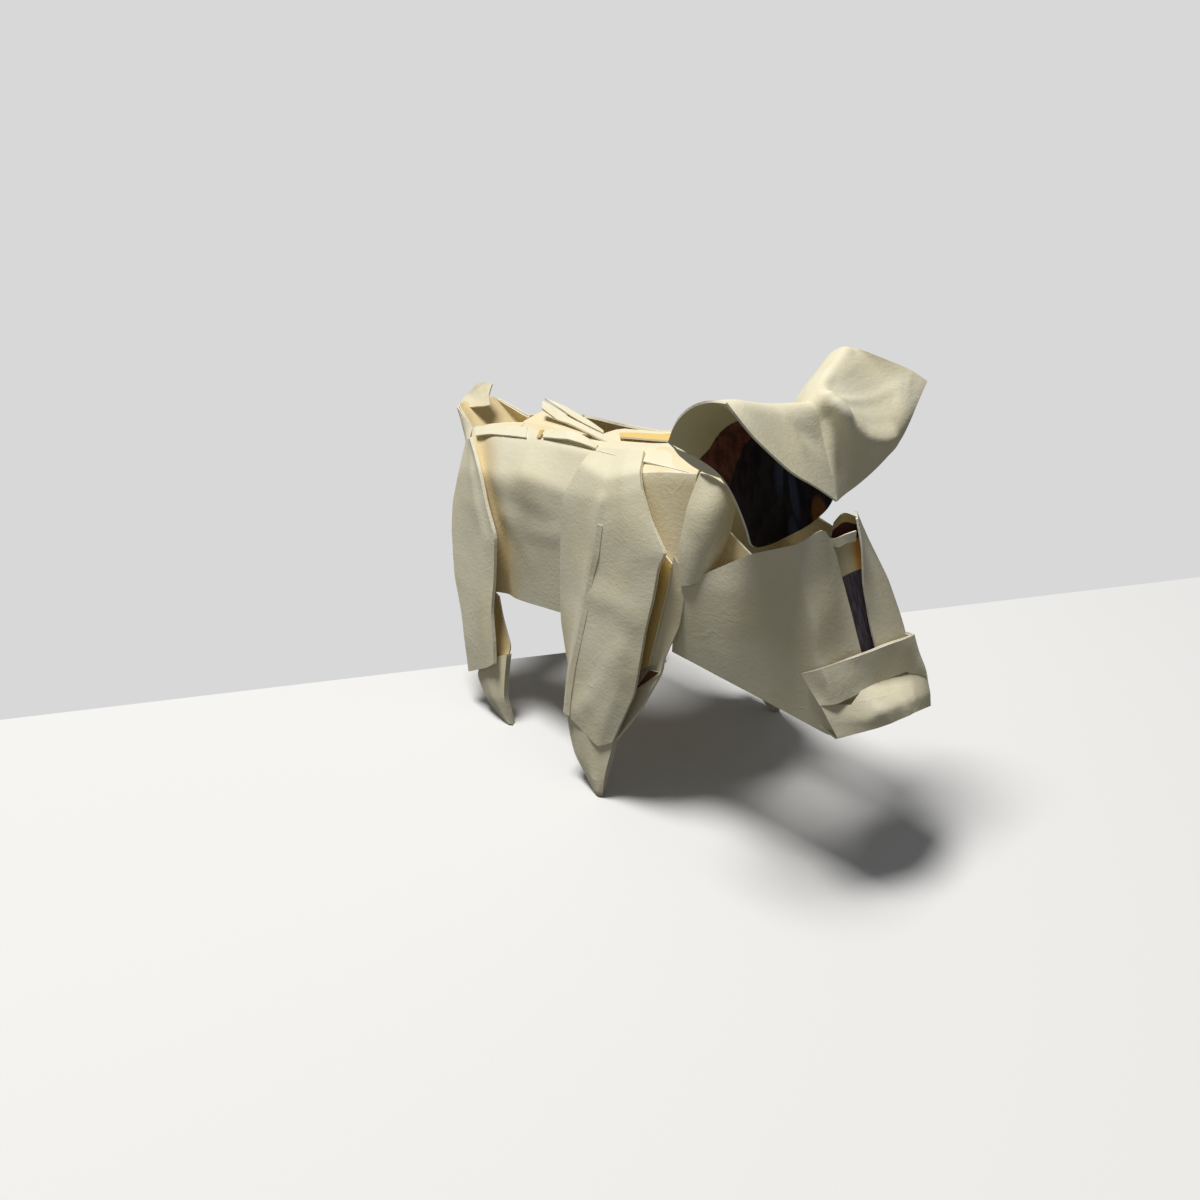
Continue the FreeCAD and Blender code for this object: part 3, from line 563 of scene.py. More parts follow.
for region, face in (("Top", "Outside"), ("Side", "Edge")):
    dressed = add("SetMaterial",
                  [("Geometry", dressed[0]), ("Selection", raised[region]),
                   ("Material", given[face])])
node(fold_tree, "NodeGroupOutput", [(0, dressed[0])])
print("tree packed_paper,", len(fold_tree.nodes), "nodes")

# %% [markdown]
# ## From lines to a flap
# A flap's outline is drawn as a few lines side by side. Between folds the paper is straight, so
# points are spread evenly along each run; a curled flap, such as an ear, follows a smooth
# quadratic curve that its poles pull. The helper below turns either kind into an even net of
# small squares, then lets the tree do the rest.

# %% Spreading points
def curl(poles, steps):
    """Points on the smooth quadratic curve that a line of poles draws."""
    spans = len(poles) - 2
    knots = [0, 0] + list(range(spans + 1)) + [spans, spans]
    made = []
    for step in range(steps + 1):
        t = spans * step / steps
        k = min(int(t), spans - 1) + 2
        pulled = [poles[k - 2 + j].copy() for j in range(3)]
        for r in (1, 2):
            for j in range(2, r - 1, -1):
                i = j + k - 2
                share = (t - knots[i]) / (knots[i + 3 - r] - knots[i])
                pulled[j] = pulled[j - 1].lerp(pulled[j], share)
        made.append(pulled[2])
    return made


def straight(points, steps):
    """Points along straight runs, steps[i] of them between neighbours."""
    made = [points[0].copy()]
    for start, end, count in zip(points, points[1:], steps):
        made += [start.lerp(end, i / count) for i in range(1, count + 1)]
    return made


def spread(lines, cell, curled):
    """All lines with points spread at about one cell, and where the folds fall."""
    counts = []
    for j in range(len(lines[0]) - 1):
        longest = max((line[j + 1] - line[j]).length for line in lines)
        counts.append(max(1, math.ceil(longest / cell)))
    if curled:
        return [curl(line, sum(counts)) for line in lines], []
    folds = [sum(counts[:j]) for j in range(1, len(counts))]
    return [straight(line, counts) for line in lines], folds


print("lines can be spread")

# %% Creases pressed one by one
def closeness(point, start, end, width):
    """1 on a straight run from start to end, falling to 0 at its width."""
    run = end - start
    along = max(0.0, min(1.0, (point - start).dot(run) / run.length_squared))
    return max(0.0, 1.0 - (point - start - along * run).length / width)


def along_line(points, amount, width):
    """One run for each pair of neighbours on a line, with an amount and a width."""
    return [(a, b, amount, width) for a, b in zip(points, points[1:])]


def runs(table):
    """The runs of several lines, each with its amount, its width and its points as a table."""
    return [run for amount, width, line in table
            for run in along_line(net(line)[0], amount, width)]


def press(points, quads, creases, fixed):
    """Push points in or out along their normals near each crease, as a thumb would.

    A crease is (start, end, rise, width): a straight run, how far it stands out (or in, if
    negative) and how far to either side it reaches. The first fixed points stay put, because
    another flap shares them.
    """
    if not creases:
        return
    normals = [Vector() for p in points]
    for a, b, c, d in quads:
        across_face = (points[c] - points[a]).cross(points[d] - points[b])
        for corner in (a, b, c, d):
            normals[corner] += across_face
    for i in range(fixed, len(points)):
        reach = {}
        for start, end, rise, width in creases:
            share = closeness(points[i], start, end, width) ** 1.3
            reach[rise, width] = max(reach.get((rise, width), 0.0), share)
        lift = sum(rise * share for (rise, width), share in reach.items())
        points[i] = points[i] + lift * normals[i].normalized()


# %% The flap maker
finished, latest = [], []


def store(mesh, name, domain, values):
    """Give a mesh an attribute. It is filled at once, since the next new one moves it."""
    mesh.attributes.new(name, "FLOAT", domain).data.foreach_set("value", values)


def flap(name, lines, outward, side=LEFT, paper_mm=0.3, stack=0.4, layers=1, air=0.12,
         shared=False, curled="", smooth_across=(), smooth_along=(), sharp=0.85, painted_glow=0.0,
         dents=0.12, facets=9.0, seed=0.0, cell=2.05, creases=(), painted_shade_runs=(), u_span=1.0,
         outside=None, inside=None):
    """One flap of the sheet, from lines of points in plan millimetres.

    Everything is drawn for the left, and side puts it on the right. Outward says which face
    is the outside. Stack is the thickness that the layers share, each one sheet of paper_mm
    with air below it. A shared first line is also another flap's, so no crease moves it. Folds
    are sharp unless smooth_across (lines) or smooth_along (points) lists them. The warm share
    paints a glow of light through the layers into the colour, and the shade runs are creases
    that carry that warm tint in place of a rise: painted warm shade in a recess.
    """
    lines = [to_side(line, side) for line in lines]
    outward = to_side([outward], side)[0]
    creases, painted_shade_runs = ([(*to_side([a, b], side), amount, reach) for a, b, amount, reach in group]
                       for group in (creases, painted_shade_runs))
    lines, column_folds = spread(lines, cell, "along" in curled)
    columns, row_folds = spread([list(c) for c in zip(*lines)], cell, "across" in curled)
    lines = [list(line) for line in zip(*columns)]
    rows, width = len(lines), len(lines[0])
    points = [p for line in lines for p in line]
    quads = [(i * width + j, i * width + j + 1, (i + 1) * width + j + 1, (i + 1) * width + j)
             for i in range(rows - 1) for j in range(width - 1)]
    facing = Vector()
    for a, b, c, d in quads:
        facing += (points[c] - points[a]).cross(points[d] - points[b])
    if facing.dot(outward) < 0:
        quads = [(a, d, c, b) for a, b, c, d in quads]
    press(points, quads, creases, width if shared else 0)
    mesh = bpy.data.meshes.new(name)
    mesh.from_pydata([((p.x + shift) * MM, p.y * MM, p.z * MM) for p in points], [], quads)
    folds_i = {f for n, f in enumerate(row_folds) if n not in smooth_across}
    folds_j = {f for n, f in enumerate(column_folds) if n not in smooth_along}
    sharpness = []
    for edge in mesh.edges:
        (i, j), (k, m) = (divmod(end, width) for end in edge.vertices)
        on_fold = (i == k and i in folds_i) or (j == m and j in folds_j)
        sharpness.append(sharp if on_fold else 0.0)
    store(mesh, "sharpness", "EDGE", sharpness)
    # painted glow of light through the layers, and painted warm shade along the shade runs
    store(mesh, "painted_glow_share", "POINT", [max([painted_glow] + [amount * closeness(point, a, b, reach)
                                                  for a, b, amount, reach in painted_shade_runs])
                                    for point in points])
    uv = mesh.uv_layers.new(name="sheet")
    for loop in mesh.loops:
        i, j = divmod(loop.vertex_index, width)
        uv.data[loop.index].uv = (u_span * i / (rows - 1), j / (width - 1))
    made = bpy.data.objects.new(name, mesh)
    bpy.context.collection.objects.link(made)
    recipe = made.modifiers.new("packed_paper", "NODES")
    recipe.node_group = fold_tree
    values = {"Fineness": SUBDIVISIONS, "Layers": layers, "Paper": paper_mm * MM,
              "Stack": stack * MM, "Air": air * MM, "Dents": dents * MM, "Facets": facets * MM,
              "Seed": float(seed), "Outside": outside or cream,
              "Inside": inside or cream, "Edge": raw}
    for label, value in values.items():
        recipe[socket_ids[label]] = value
    graph = bpy.context.evaluated_depsgraph_get()
    plain = bpy.data.meshes.new_from_object(made.evaluated_get(graph), depsgraph=graph,
                                            preserve_all_data_layers=True)
    bpy.data.objects.remove(made)
    finished.append((name, plain))
    latest.append("%s %d" % (name, len(plain.polygons)))


def show():
    """Print how many faces each flap since the last call has."""
    print(", ".join(latest))
    latest.clear()


# %% [markdown]
# ## The trunk
# Each flank hangs from a crease along the back. Its first tier slopes outward and catches the
# lamp, the tiers below it hang almost upright, and that is what makes a flat sheet look like a
# round body. The rump is a panel tucked in between the flanks, open at the top.

# %% Flanks: rim, crease, first tier, second tier and hem
FLANK = net("""
    -38.9 6.2 45.8, -34.1 6.2 47.3, -27.7 6.2 48.6, -21.3 6.2 49.6, -13.1 6.2 50.2, -3.6 6.4 50.9,
    12 7 52.2;
    -37 8 44.6, -31.6 8 46.4, -25.3 8 47.6, -19 8 48.6, -10.1 8 50, -1.3 8.2 50.8, 13 9 51.4;
    -31.5 11.8 40.5, -26.1 12 41.9, -20.2 12.4 43, -15.4 12.7 44.4, -4.7 12 44.6, 3.5 11.6 45.4,
    14 10.6 46.6;
    -29.5 12.6 34, -23.9 12.8 35.3, -18.6 13.4 36.4, -14.6 12.9 36.8, -4.8 12.8 39.2, 4.2 12.4 41,
    15 11.2 41;
    -27.5 13.6 19.7, -22.3 13.7 21.2, -17.6 13.9 21.9, -13.4 13.8 22.4, -3.5 13.8 24,
    5.4 13.2 25.2, 16 12 26.6
""")
HAUNCH = net("""
    -34.4 9 46, -28.3 11.8 41.8, -24.5 12.9 36.8, -20.8 13.2 32.6, -19.9 13.6 21
""")[0]
RIM_BAND = net("""
    -38.6 6.1 46.2, -35.1 6.1 47.2, -29.6 6.1 48.5, -22.6 6.1 49.8;
    -35.4 8.1 45.7, -31.1 8.1 47, -25.8 8.1 48, -20.4 8.1 48.9
""")
flank_folds = along_line(HAUNCH, -0.9, 4.0) + runs([
    (0.28, 2.2, "-24 12.2 41, -17 12.6 41.6, -8 12.3 40.4"),
    (0.35, 1.8, "-22 12.9 36, -14 13 35.8, -5 12.9 37"),
    (0.25, 1.4, "-18 13.3 35, -12 13.4 30")])
# Each flank's inner face is the warm cream, a painted glow of light through the layers, and the
# runs along the haunch paint a warm shade on the flank beside the hind leg.
for side in (RIGHT, LEFT):
    flap("flank", FLANK, (0, 1, 0.3), side, paper_mm=0.45, stack=0.6, sharp=0.62,
         smooth_across=(0, 1, 2, 3, 4, 5), dents=0.16, facets=10.0, seed=3.1 + side,
         creases=flank_folds, painted_shade_runs=along_line(HAUNCH, 0.6, 5.5), inside=painted_glow_cream)
    flap("rim_band", RIM_BAND, (0, 1, 1), side, dents=0.06, facets=4.0, seed=4.0)
show()

# %% Rump
RUMP = net("""
    -38.9 6.2 45.8, -46.6 4.4 48.2, -47.9 2.2 48.2, -47.4 0 47.6;
    -37.6 8.4 43.4, -41.6 6 43.8, -43.6 2.6 44.2, -42.6 0 43.8;
    -36.9 10.6 38, -36.4 7.2 38, -35.2 3.4 38.2, -33.6 0 38;
    -36.4 12.8 29.6, -33.4 8.4 30, -31.2 3.8 30.4, -29.8 0 30;
    -31.9 14.4 21.6, -29.2 8.6 22.4, -27.4 3.8 23, -26.6 0 22.8
""")
# The rump's inner face is the warm cream: a painted glow of light through the layers.
flap("rump", [across(row[::-1]) for row in RUMP], (-1, 0, 0.2), stack=0.7, layers=2, air=0.1,
     dents=0.22, facets=8.0, seed=7.7, sharp=0.6, inside=painted_glow_cream)

# %% Tail
TAIL = net("""
    -49.3 -2 46.6, -49.8 -0.6 48.4, -48.1 1.5 51;
    -45.8 -1.3 47.4, -47.6 0.2 49, -46.7 2.2 51.5;
    -41.6 -0.2 48.4, -43.7 1 49.8, -44.9 2.6 51.3
""")
flap("tail", TAIL, (0, -1, 1), stack=0.6, dents=0.25, facets=3.0, seed=9.0, cell=1.2, sharp=0.7)
show()

# %% Back
SADDLE = net("""
    -11.5 0 49.3, -11.5 4.2 49.6, -11.5 7.4 49.3;
    -5.5 0 50.2, -5.5 4.2 50.6, -5.5 7.6 50.4;
    2.4 0 51.5, 2.4 4 51.9, 2.4 8.4 51.4;
    10.5 0 53.4, 10.5 4.2 53.6, 11 8.8 52.4;
    20.6 0 54.2, 20.4 5 54.3, 20.2 9.4 53.4
""")
STRIP_TOP = net("""
    -25.6 0 53, -20 0 52.9, -14.6 0 52, -10 0 50.8;
    -22.6 1 53, -17.7 1 52.1, -13.4 1 51.4, -8.6 1 50.8
""")
STRIP_LOW = net("""
    -24.7 1.2 52.9, -21.6 1.2 52.6, -17.5 1.2 51.6, -11.1 1.2 50.9, -4.4 1.4 50.5;
    -22.6 3 52.4, -18.5 3 51.4, -15.2 3 51.4, -10 3 50.9, -4.2 3.2 50.5
""")
UNDER_STRIP = net("""
    -26.4 0 50.6, -19 0.6 50.2, -12 0.6 49.8;
    -26 4.4 49.7, -17 4.6 51, -9.6 4.6 51.3;
    -24.8 6 48.9, -16.2 6.2 50.2, -9.2 6.4 50.7
""")
INNER_RIM = net("""
    -38.6 3.2 45.2, -32.6 3 46.8, -25.6 3 49;
    -37.4 4.6 46.6, -31.6 4.5 48.4, -25.2 4.5 49.8;
    -36.6 6 46.4, -31 6 47.6, -24.8 6.1 49.2
""")
SLOT = net("""
    -18 6.9 50.6, -17.9 7.8 49.5;
    -17 6.9 50.9, -16.9 7.8 49.8
""")
TONGUE = net("""
    -17.4 6.1 50.5, -11.6 6.1 51.8, -7.5 6.1 51.8, -3.6 6.3 51.3;
    -16.2 7.8 49.9, -9.4 7.9 51.2, -5.6 8 51.4, -2.4 8 51.3
""")
FAR_RIM = net("""
    -14 5.6 46.4, -5.2 5.6 48.6, 2.4 5.6 50.4;
    -13.4 5.2 48.4, -5.2 5.2 50.6, 2 5.2 52.4
""")
FAR_STRIP = net("""
    -7.2 1.3 50.9, -4 2.1 51.5, 0.6 2.8 52.2, 5.4 3.4 53.1;
    -4.2 -1.2 51.4, -1.6 -0.9 51.8, 2.6 -0.3 52.4, 7 0.2 53.1
""")
flap("saddle", [across(row) for row in SADDLE], (0, 0, 1), stack=0.7, smooth_along=(0, 1, 2),
     sharp=0.5, seed=11.0)
for name, lines in (("strip_top", STRIP_TOP), ("strip_low", STRIP_LOW)):
    flap(name, lines, (0, 0.6, 1), RIGHT, stack=0.7, dents=0.06, facets=4.0, seed=12.0)
# The under strip, inner rim, slot, far rim and far strip are tinted warm: a painted glow of light
# through and between the layers, and in the slot also painted shade.
flap("under_strip", UNDER_STRIP, (0, 0, 1), RIGHT, dents=0.08, seed=12.5, painted_glow=0.3, sharp=0.7)
flap("inner_rim", INNER_RIM, (0, 0, 1), RIGHT, dents=0.1, facets=4.0, seed=12.8, painted_glow=0.35,
     sharp=0.7)
flap("slot", SLOT, (0, 1, 1), RIGHT, stack=0.2, paper_mm=0.15, dents=0.0, painted_glow=1.0)
flap("tongue", TONGUE, (0, 0.5, 1), RIGHT, dents=0.08, facets=4.0, seed=13.0)
flap("far_rim", FAR_RIM, (0, -1, 0), stack=0.5, dents=0.05, seed=13.5, painted_glow=1.0)
flap("far_strip", FAR_STRIP, (0, 0, 1), dents=0.05, seed=13.8, painted_glow=1.0)
show()

# %% [markdown]
# ## The legs
# A leg is a flap rolled flat. The front one starts as the shoulder, lies almost level beside
# the back, turns down over a soft bend and runs to the foot with one crease along its front.
# Behind its edge the deeper layers show as narrow strips, painted warmer in colour: a painted glow
# of light through the layers.

# %% Front legs: rear edge, ridge, middle and front edge
FRONT_LEG = net("""
    -3.4 7 50.9, -2.9 10.2 49, -4.7 11.9 44.6, -5.3 12.4 41, -4.6 13.1 35.7, -4.4 13.4 32.8,
    -3.8 13.9 28, -2.7 14.7 22.8, 0.5 16 17.7, 3.4 17.2 13.5, 5.5 18.4 8.9;
    1.9 7 51.9, 5.9 12.4 49.4, 6.4 13.7 46.6, 6.3 14.4 43.2, 6.3 15.2 38.3, 5.6 15.6 34.9,
    5.3 16.4 29.9, 4.9 17.4 24.8, 4.3 18.4 19.3, 4.2 19.2 14.6, 4.4 19.8 11;
    4.7 7 52.6, 9.4 12.2 51, 10.8 13.4 48.6, 12.3 14.4 45, 13.9 15.1 40.8, 14 15.6 38.1,
    14.3 16.4 33.1, 15 17.4 28.2, 16 18.3 21.8, 14.4 19.3 15.6, 12.9 20.1 8.6;
    8.2 7 53.2, 12 11.2 51.9, 13.5 12.2 49.9, 16.5 13.1 46.2, 20.7 13.9 42.4, 19.7 14.3 40.2,
    19.6 15.2 35, 19 16.2 29.6, 18.8 17.2 23.2, 18.4 17.6 19.4, 15.4 19.3 10.2
""")
FRONT_RIDGE = FRONT_LEG[1]
leg_folds = along_line(FRONT_RIDGE[2:], 0.38, 1.4) + runs([
    (0.45, 2.4, "7 16.6 31.5, 13.4 16.4 32.6, 17.5 16 31"),
    (0.4, 2.2, "15.6 17.2 26, 11.6 19 18, 7.6 19.6 12")])
for side in (RIGHT, LEFT):
    flap("front_leg", FRONT_LEG, (0, 1, 0.2), side, stack=0.9, layers=2, air=0.14, shared=True,
         smooth_across=(1,), sharp=0.8, smooth_along=(1, 2, 4, 5, 6, 7, 8), dents=0.14, facets=8.0,
         seed=20.0 + side, creases=leg_folds)
show()

# %% Layers behind a front leg
CHEST_PANEL = net("""
    8 4 53.4, 11 10.6 51.4, 14.6 11.8 44.4, 18.6 12.8 38.4;
    14 4 54.3, 16.8 9.8 52.9, 18.6 11.2 45.4, 20.2 12.2 39.2;
    19.6 4.4 54.7, 22 9.4 53.9, 22.4 10.4 46, 21.6 11.4 39.6
""")
PAINTED_GLOW_STRIP = net("""
    15.6 12.5 43.4, 17.4 13.3 37.4, 16.6 14.2 30.6, 15.8 15.5 21.4;
    20.6 12.5 40.4, 20.6 13.1 37, 19.7 13.9 31, 18.8 15.1 23.6
""")
PALE_STRIP = net("""
    20.6 12.2 41.6, 20 12.9 37.2, 19 13.5 31, 18.2 14.8 23.3;
    22.9 11.6 38.6, 22.9 12.1 35.4, 22.6 12.6 31.1, 20.8 14.3 24.2
""")
LOWER_LINING = net("""
    -3 11.8 30, -1.6 12.6 24, 3 15 16.4, 7.4 17.4 9.2;
    9 11.2 31, 10 13.2 23.6, 10.4 15.2 16.4, 10.6 17.4 8.8;
    20.4 12.4 31.4, 21.4 14.8 23.4, 18.7 16.4 16.6, 14.6 18.3 9.3
""")
DARK_SLOT = net("""
    16.9 16.1 19.1, 19.5 15.6 23.4;
    18.9 15.8 20.9, 21.2 15.2 23.5
""")
RIDGE_FOLD = [[(x + 0.5, y + 0.82, z) for x, y, z in FRONT_RIDGE[3:]],
              [(x + 1.5, y + 0.64, z) for x, y, z in FRONT_RIDGE[3:]]]
for side in (RIGHT, LEFT):
    # The chest panel, the warm strip and the pale strip are tinted warm: a painted glow of light
    # through the layers.
    flap("chest_panel", CHEST_PANEL, (0.2, 1, 0.3), side, stack=0.5, dents=0.10, facets=6.0,
         seed=24.0 + side, painted_glow=0.28, smooth_across=(0,), sharp=0.9)
    flap("ridge_fold", RIDGE_FOLD, (0, 1, 0.2), side, stack=0.22, paper_mm=0.15, dents=0.05,
         facets=4.0, seed=24.0 + side, cell=1.2)
    flap("painted_glow_strip", PAINTED_GLOW_STRIP, (0.3, 1, 0.1), side, dents=0.05, seed=25.0 + side, painted_glow=1.0)
    flap("pale_strip", PALE_STRIP, (0.3, 1, 0.1), side, dents=0.06, seed=26.0 + side, painted_glow=0.15)
    flap("lower_lining", LOWER_LINING, (0, -1, -0.2), side, paper_mm=0.45, stack=0.5, facets=7.0,
         seed=22.0 + side, smooth_along=(0, 1), sharp=0.6)
    flap("dark_slot", DARK_SLOT, (0.3, 1, 0), side, stack=0.2, paper_mm=0.15, dents=0.0, cell=1.4,
         outside=rust_print)
show()

# %% Hind legs: rear edge, middle and front edge
HIND_LEG = net("""
    -37.4 8.4 44.9, -37 10.5 39.5, -37.7 11.9 33.8, -36.5 13.3 28.6, -33.2 15.3 21.3,
    -28.9 17 15.3, -26.6 18.1 10.6, -25 18.8 5.9;
    -35.4 9.3 45.4, -30.9 12.2 40.6, -27.3 13.9 35.8, -23.5 15 31.6, -22.8 16.4 24.7,
    -21.2 17.6 18.8, -19.6 18.5 13.8, -19 19 9.2;
    -34.4 9.4 46, -28.3 11.8 41.8, -24.5 13.3 36.8, -20.8 14.4 32.6, -20.1 15.5 24.9,
    -19.4 16.8 19.4, -17.6 17.8 14.6, -16.6 18.5 10.9
""")
HIND_LINING = net("""
    -26 13.6 21.5, -24.4 15.4 17.2, -22.8 16.4 13.6, -21.8 17.2 8.2;
    -21.9 14 20.6, -19.8 14.8 17.6, -16.6 15.5 13.2, -16.6 16.6 10.4
""")
for side in (RIGHT, LEFT):
    flap("hind_leg", HIND_LEG, (0, 1, 0.2), side, paper_mm=0.62, stack=0.9,
         smooth_along=(0, 1, 2, 3, 4, 5), sharp=0.7, dents=0.15, facets=8.0, seed=30.0 + side,
         creases=along_line(HIND_LEG[2], 0.45, 1.1))
    # The hind lining is tinted warm: a painted glow, standing in for bounce light in the shade
    # behind the leg.
    flap("hind_lining", HIND_LINING, (0, -1, -0.2), side, dents=0.06, seed=32.0 + side, painted_glow=0.6,
         smooth_along=(0, 1), sharp=0.6)
show()

# %% Feet
FRONT_HOOF = net("""
    3.9 18.9 11.6, 5.2 19.3 7.4, 7.2 19.9 4.4, 10.8 20.3 1.9, 13.2 20.6 0.1;
    9.4 19.6 12, 10 20.1 8.1, 11.4 20.5 4.7, 13 20.8 2.3, 14 20.8 0.1;
    14.6 18.2 12.2, 15.3 19 9, 14.9 19.7 5.8, 14.6 20.2 2.9, 14.4 20.5 0.1
""")
HIND_HOOF = net("""
    -23.2 16.9 8.2, -23.2 17.9 5.6, -19.8 18.6 2.9, -16.2 18.4 1.1, -13.8 18.3 0.1;
    -19.6 17.5 10.4, -19.2 18.5 6.8, -17 19 4, -15 18.7 1.8, -13.4 18.5 0.1;
    -15.7 16.6 12.4, -15.2 17.6 8.2, -14.6 18.4 4.9, -13.6 18.3 2.2, -12.9 18.1 0.1
""")
for side in (RIGHT, LEFT):
    for name, lines, seed in (("front_hoof", FRONT_HOOF, 40.0), ("hind_hoof", HIND_HOOF, 42.0)):
        flap(name, lines, (0, 1, 0.2), side, stack=1.2, layers=3, smooth_along=(0, 1, 2),
             dents=0.08, facets=5.0, seed=seed, cell=2.0)
show()

# %% [markdown]
# ## Chest, collar and neck
# The chest closes the trunk in front. Over it, on each side, a collar panel bulges out with a
# crumpled upper corner, and behind the collar a hollow runs in under the ear.

# %% Chest and collars
CHEST = net("""
    22.8 0 53.2, 22.4 4.5 53.4, 20.6 9 53;
    23.6 0 48.6, 22.8 4.8 48.8, 20.6 9.6 48.6;
    23.6 0 42.4, 22.8 5.2 42.4, 20.6 10.6 42.2;
    22.6 0 34.4, 21.8 5.8 34.4, 20 11.6 34.2;
    19.6 0 26.6, 19 6.2 26.6, 17.6 12.2 26.4
""")
COLLAR = net("""
    22.7 9.4 54.4, 22 10.9 50.4, 21.8 11.8 46, 21.5 12.2 41.9, 22.3 12.3 37.4;
    25.6 9.8 54.4, 25.4 12 51.4, 25.2 13 47, 24.8 13.2 42.6, 24.4 12.8 38.2;
    27.8 8.8 54, 28.4 10.2 51.6, 28.6 11 47.8, 28.2 11.4 43.8, 26.4 11.4 39.8;
    27.6 6.4 53.4, 28 7.6 51.2, 28 8.4 47.6, 27.4 8.8 43.8, 25.8 9.4 40.2
""")
COLLAR_TOP = net("""
    22.4 8.2 54.3, 24.8 8.6 55, 27.6 7.9 54.6, 29.4 6.6 53.6;
    22.9 9.8 54.2, 25.2 10.4 54.6, 27.4 9.8 54, 29 8.8 52.8
""")
NECK_FOLD = net("""
    20.4 8.4 47.4, 26.4 7.6 46.6, 33 8.6 44.4;
    20 8.8 40, 26.2 8.4 38.6, 33 9.6 37.2;
    20 9.4 33, 26 9.6 31.6, 33 10.2 30.6
""")
# The chest, the collar tops and the neck folds are tinted warm: a painted glow of light through
# the layers, which in the hollow under each ear also stands in for shade.
flap("chest", [across(row) for row in CHEST], (1, 0, 0), stack=0.8, dents=0.15, facets=8.0,
     smooth_along=(0, 1, 2), seed=14.0, painted_glow=0.2, sharp=0.6)
for side in (RIGHT, LEFT):
    flap("collar", COLLAR, (0.4, 1, 0), side, curled="across along", dents=0.22, facets=7.0,
         seed=16.0 + side)
    flap("collar_top", COLLAR_TOP, (0, 0.3, 1), side, dents=0.25, facets=3.0, seed=17.0 + side,
         cell=1.6, painted_glow=0.1)
    flap("neck_fold", NECK_FOLD, (0, 1, 0), side, stack=0.5, dents=0.08, seed=15.0, painted_glow=0.5,
         smooth_along=(0, 1))
show()

# %% [markdown]
# ## The head
# Two cheeks fold forward to the face, which stays open down its middle in a slit that shows
# the print behind. A band folded round the end makes the snout. The head hangs a little to the
# left, so the two halves get points of their own. Right is negative here, left is positive.

# %% Cheeks and face
CHEEK_RIGHT = net("""
    23.6 -11.7 38.6, 22.3 -11.9 37, 21.4 -12 32.2, 20.7 -11.9 27.8, 20.5 -11.8 25.7;
    34.5 -10.8 46, 34 -11.4 40.5, 33.5 -11.5 35, 33 -11.3 29.8, 32.6 -10.9 24.9;
    40.8 -9 48.9, 42.8 -9.2 43.3, 45.2 -9.5 39.2, 46.6 -9.7 34.2, 50.6 -9.7 23.6;
    42.6 -6.2 51, 43.5 -5.9 44.9, 44.9 -5.4 40.5, 46.2 -5 35.1, 49.6 -4.4 25;
    41.9 -3.6 48.2, 42.5 -2.8 46, 43.3 -2.2 42.6, 45.4 -2 37.9, 49.3 -1.6 28.6
""")
CHEEK_LEFT = net("""
    23.6 11.7 37.8, 22.3 11.9 36.2, 21.4 12 31.4, 20.7 11.9 27, 20.5 11.8 24.9;
    34.5 10.2 45.2, 34 11.2 39.7, 33.5 11.4 34.2, 33 11.2 29, 32.6 10.9 24;
    39.6 4.8 49.4, 41.2 6.2 45.4, 43.9 7.9 40, 46.4 8.8 34.4, 51.5 9.8 22.2;
    40.9 2.8 50.8, 42.2 3.6 45.8, 44.2 4.6 41, 46.8 5 35.4, 51.4 5.4 24.6;
    42.4 1.2 50.4, 43.7 1.1 46.8, 44.6 1 41.6, 46.5 1 35.8, 49.6 1 28.6
""")
SLIT = net("""
    42 1.8 50.6, 42.2 2.6 47.6, 42.6 3.2 44.8, 44.4 3.2 39.6, 47.4 3.2 31;
    40.7 0.4 51.3, 41.2 0.2 48.2, 41.8 0 45, 44 0 39.6, 47.2 -0.2 31;
    40.5 -1.2 50, 40.9 -2.4 47.6, 41.4 -3.6 44.6, 43.4 -3.8 39.4, 46.6 -3.8 31
""")
SLIT_TUCK = net("""
    41.9 -4.2 48.7, 42.3 -2.6 48.6, 42.5 -1 48.8, 42.9 0.7 49;
    42.2 -3.6 47.7, 42.6 -2.6 47.3, 42.7 -1.2 47.6, 43 0.6 47.5
""")
for side, lines in ((RIGHT, CHEEK_RIGHT), (LEFT, CHEEK_LEFT)):
    flap("cheek", lines, (0.3, side, 0), stack=0.5, smooth_across=(0, 1, 2),
         smooth_along=(0, 1, 2), sharp=0.3, dents=0.10, facets=13.0, seed=50.0 + side)
flap("slit_lining", SLIT, (1, 0, 0), dents=0.05, seed=52.0, outside=slate, smooth_across=(0,))
flap("slit_tuck", SLIT_TUCK, (1, 0, 0), dents=0.15, facets=2.5, seed=53.0, cell=1.2)
show()

# %% Snout
SNOUT = net("""
    46.8 9.7 32, 48.9 8.3 32.9, 49.3 5.3 33.3, 49.1 1.2 33.5, 48.9 -2.7 33.6, 48.3 -6.7 33.5,
    47.9 -10.7 33.5, 45.2 -11.2 31.9;
    49.4 9.8 27.6, 51.2 9.5 26.6, 50.6 8.2 27.2, 50.2 5.2 28.5, 50.2 -0.3 28.7, 50.4 -5.8 28.9,
    50.2 -9.8 28.7, 48.7 -11.3 28.4
""")
SNOUT_DISC = net("""
    51.1 9.6 26.6, 50.3 6.6 27.8, 50.2 -0.4 28.7, 50.4 -5 29, 50.8 -7.2 27.9;
    52.2 9.3 24, 53.6 3.4 26.1, 54 -1.3 27, 53.8 -4.4 27, 53.2 -5.7 26.1;
    52.5 9.2 22.4, 54.2 3.3 24.4, 54.6 -0.1 25, 54.4 -2.7 25, 53.9 -4.4 24.8
""")
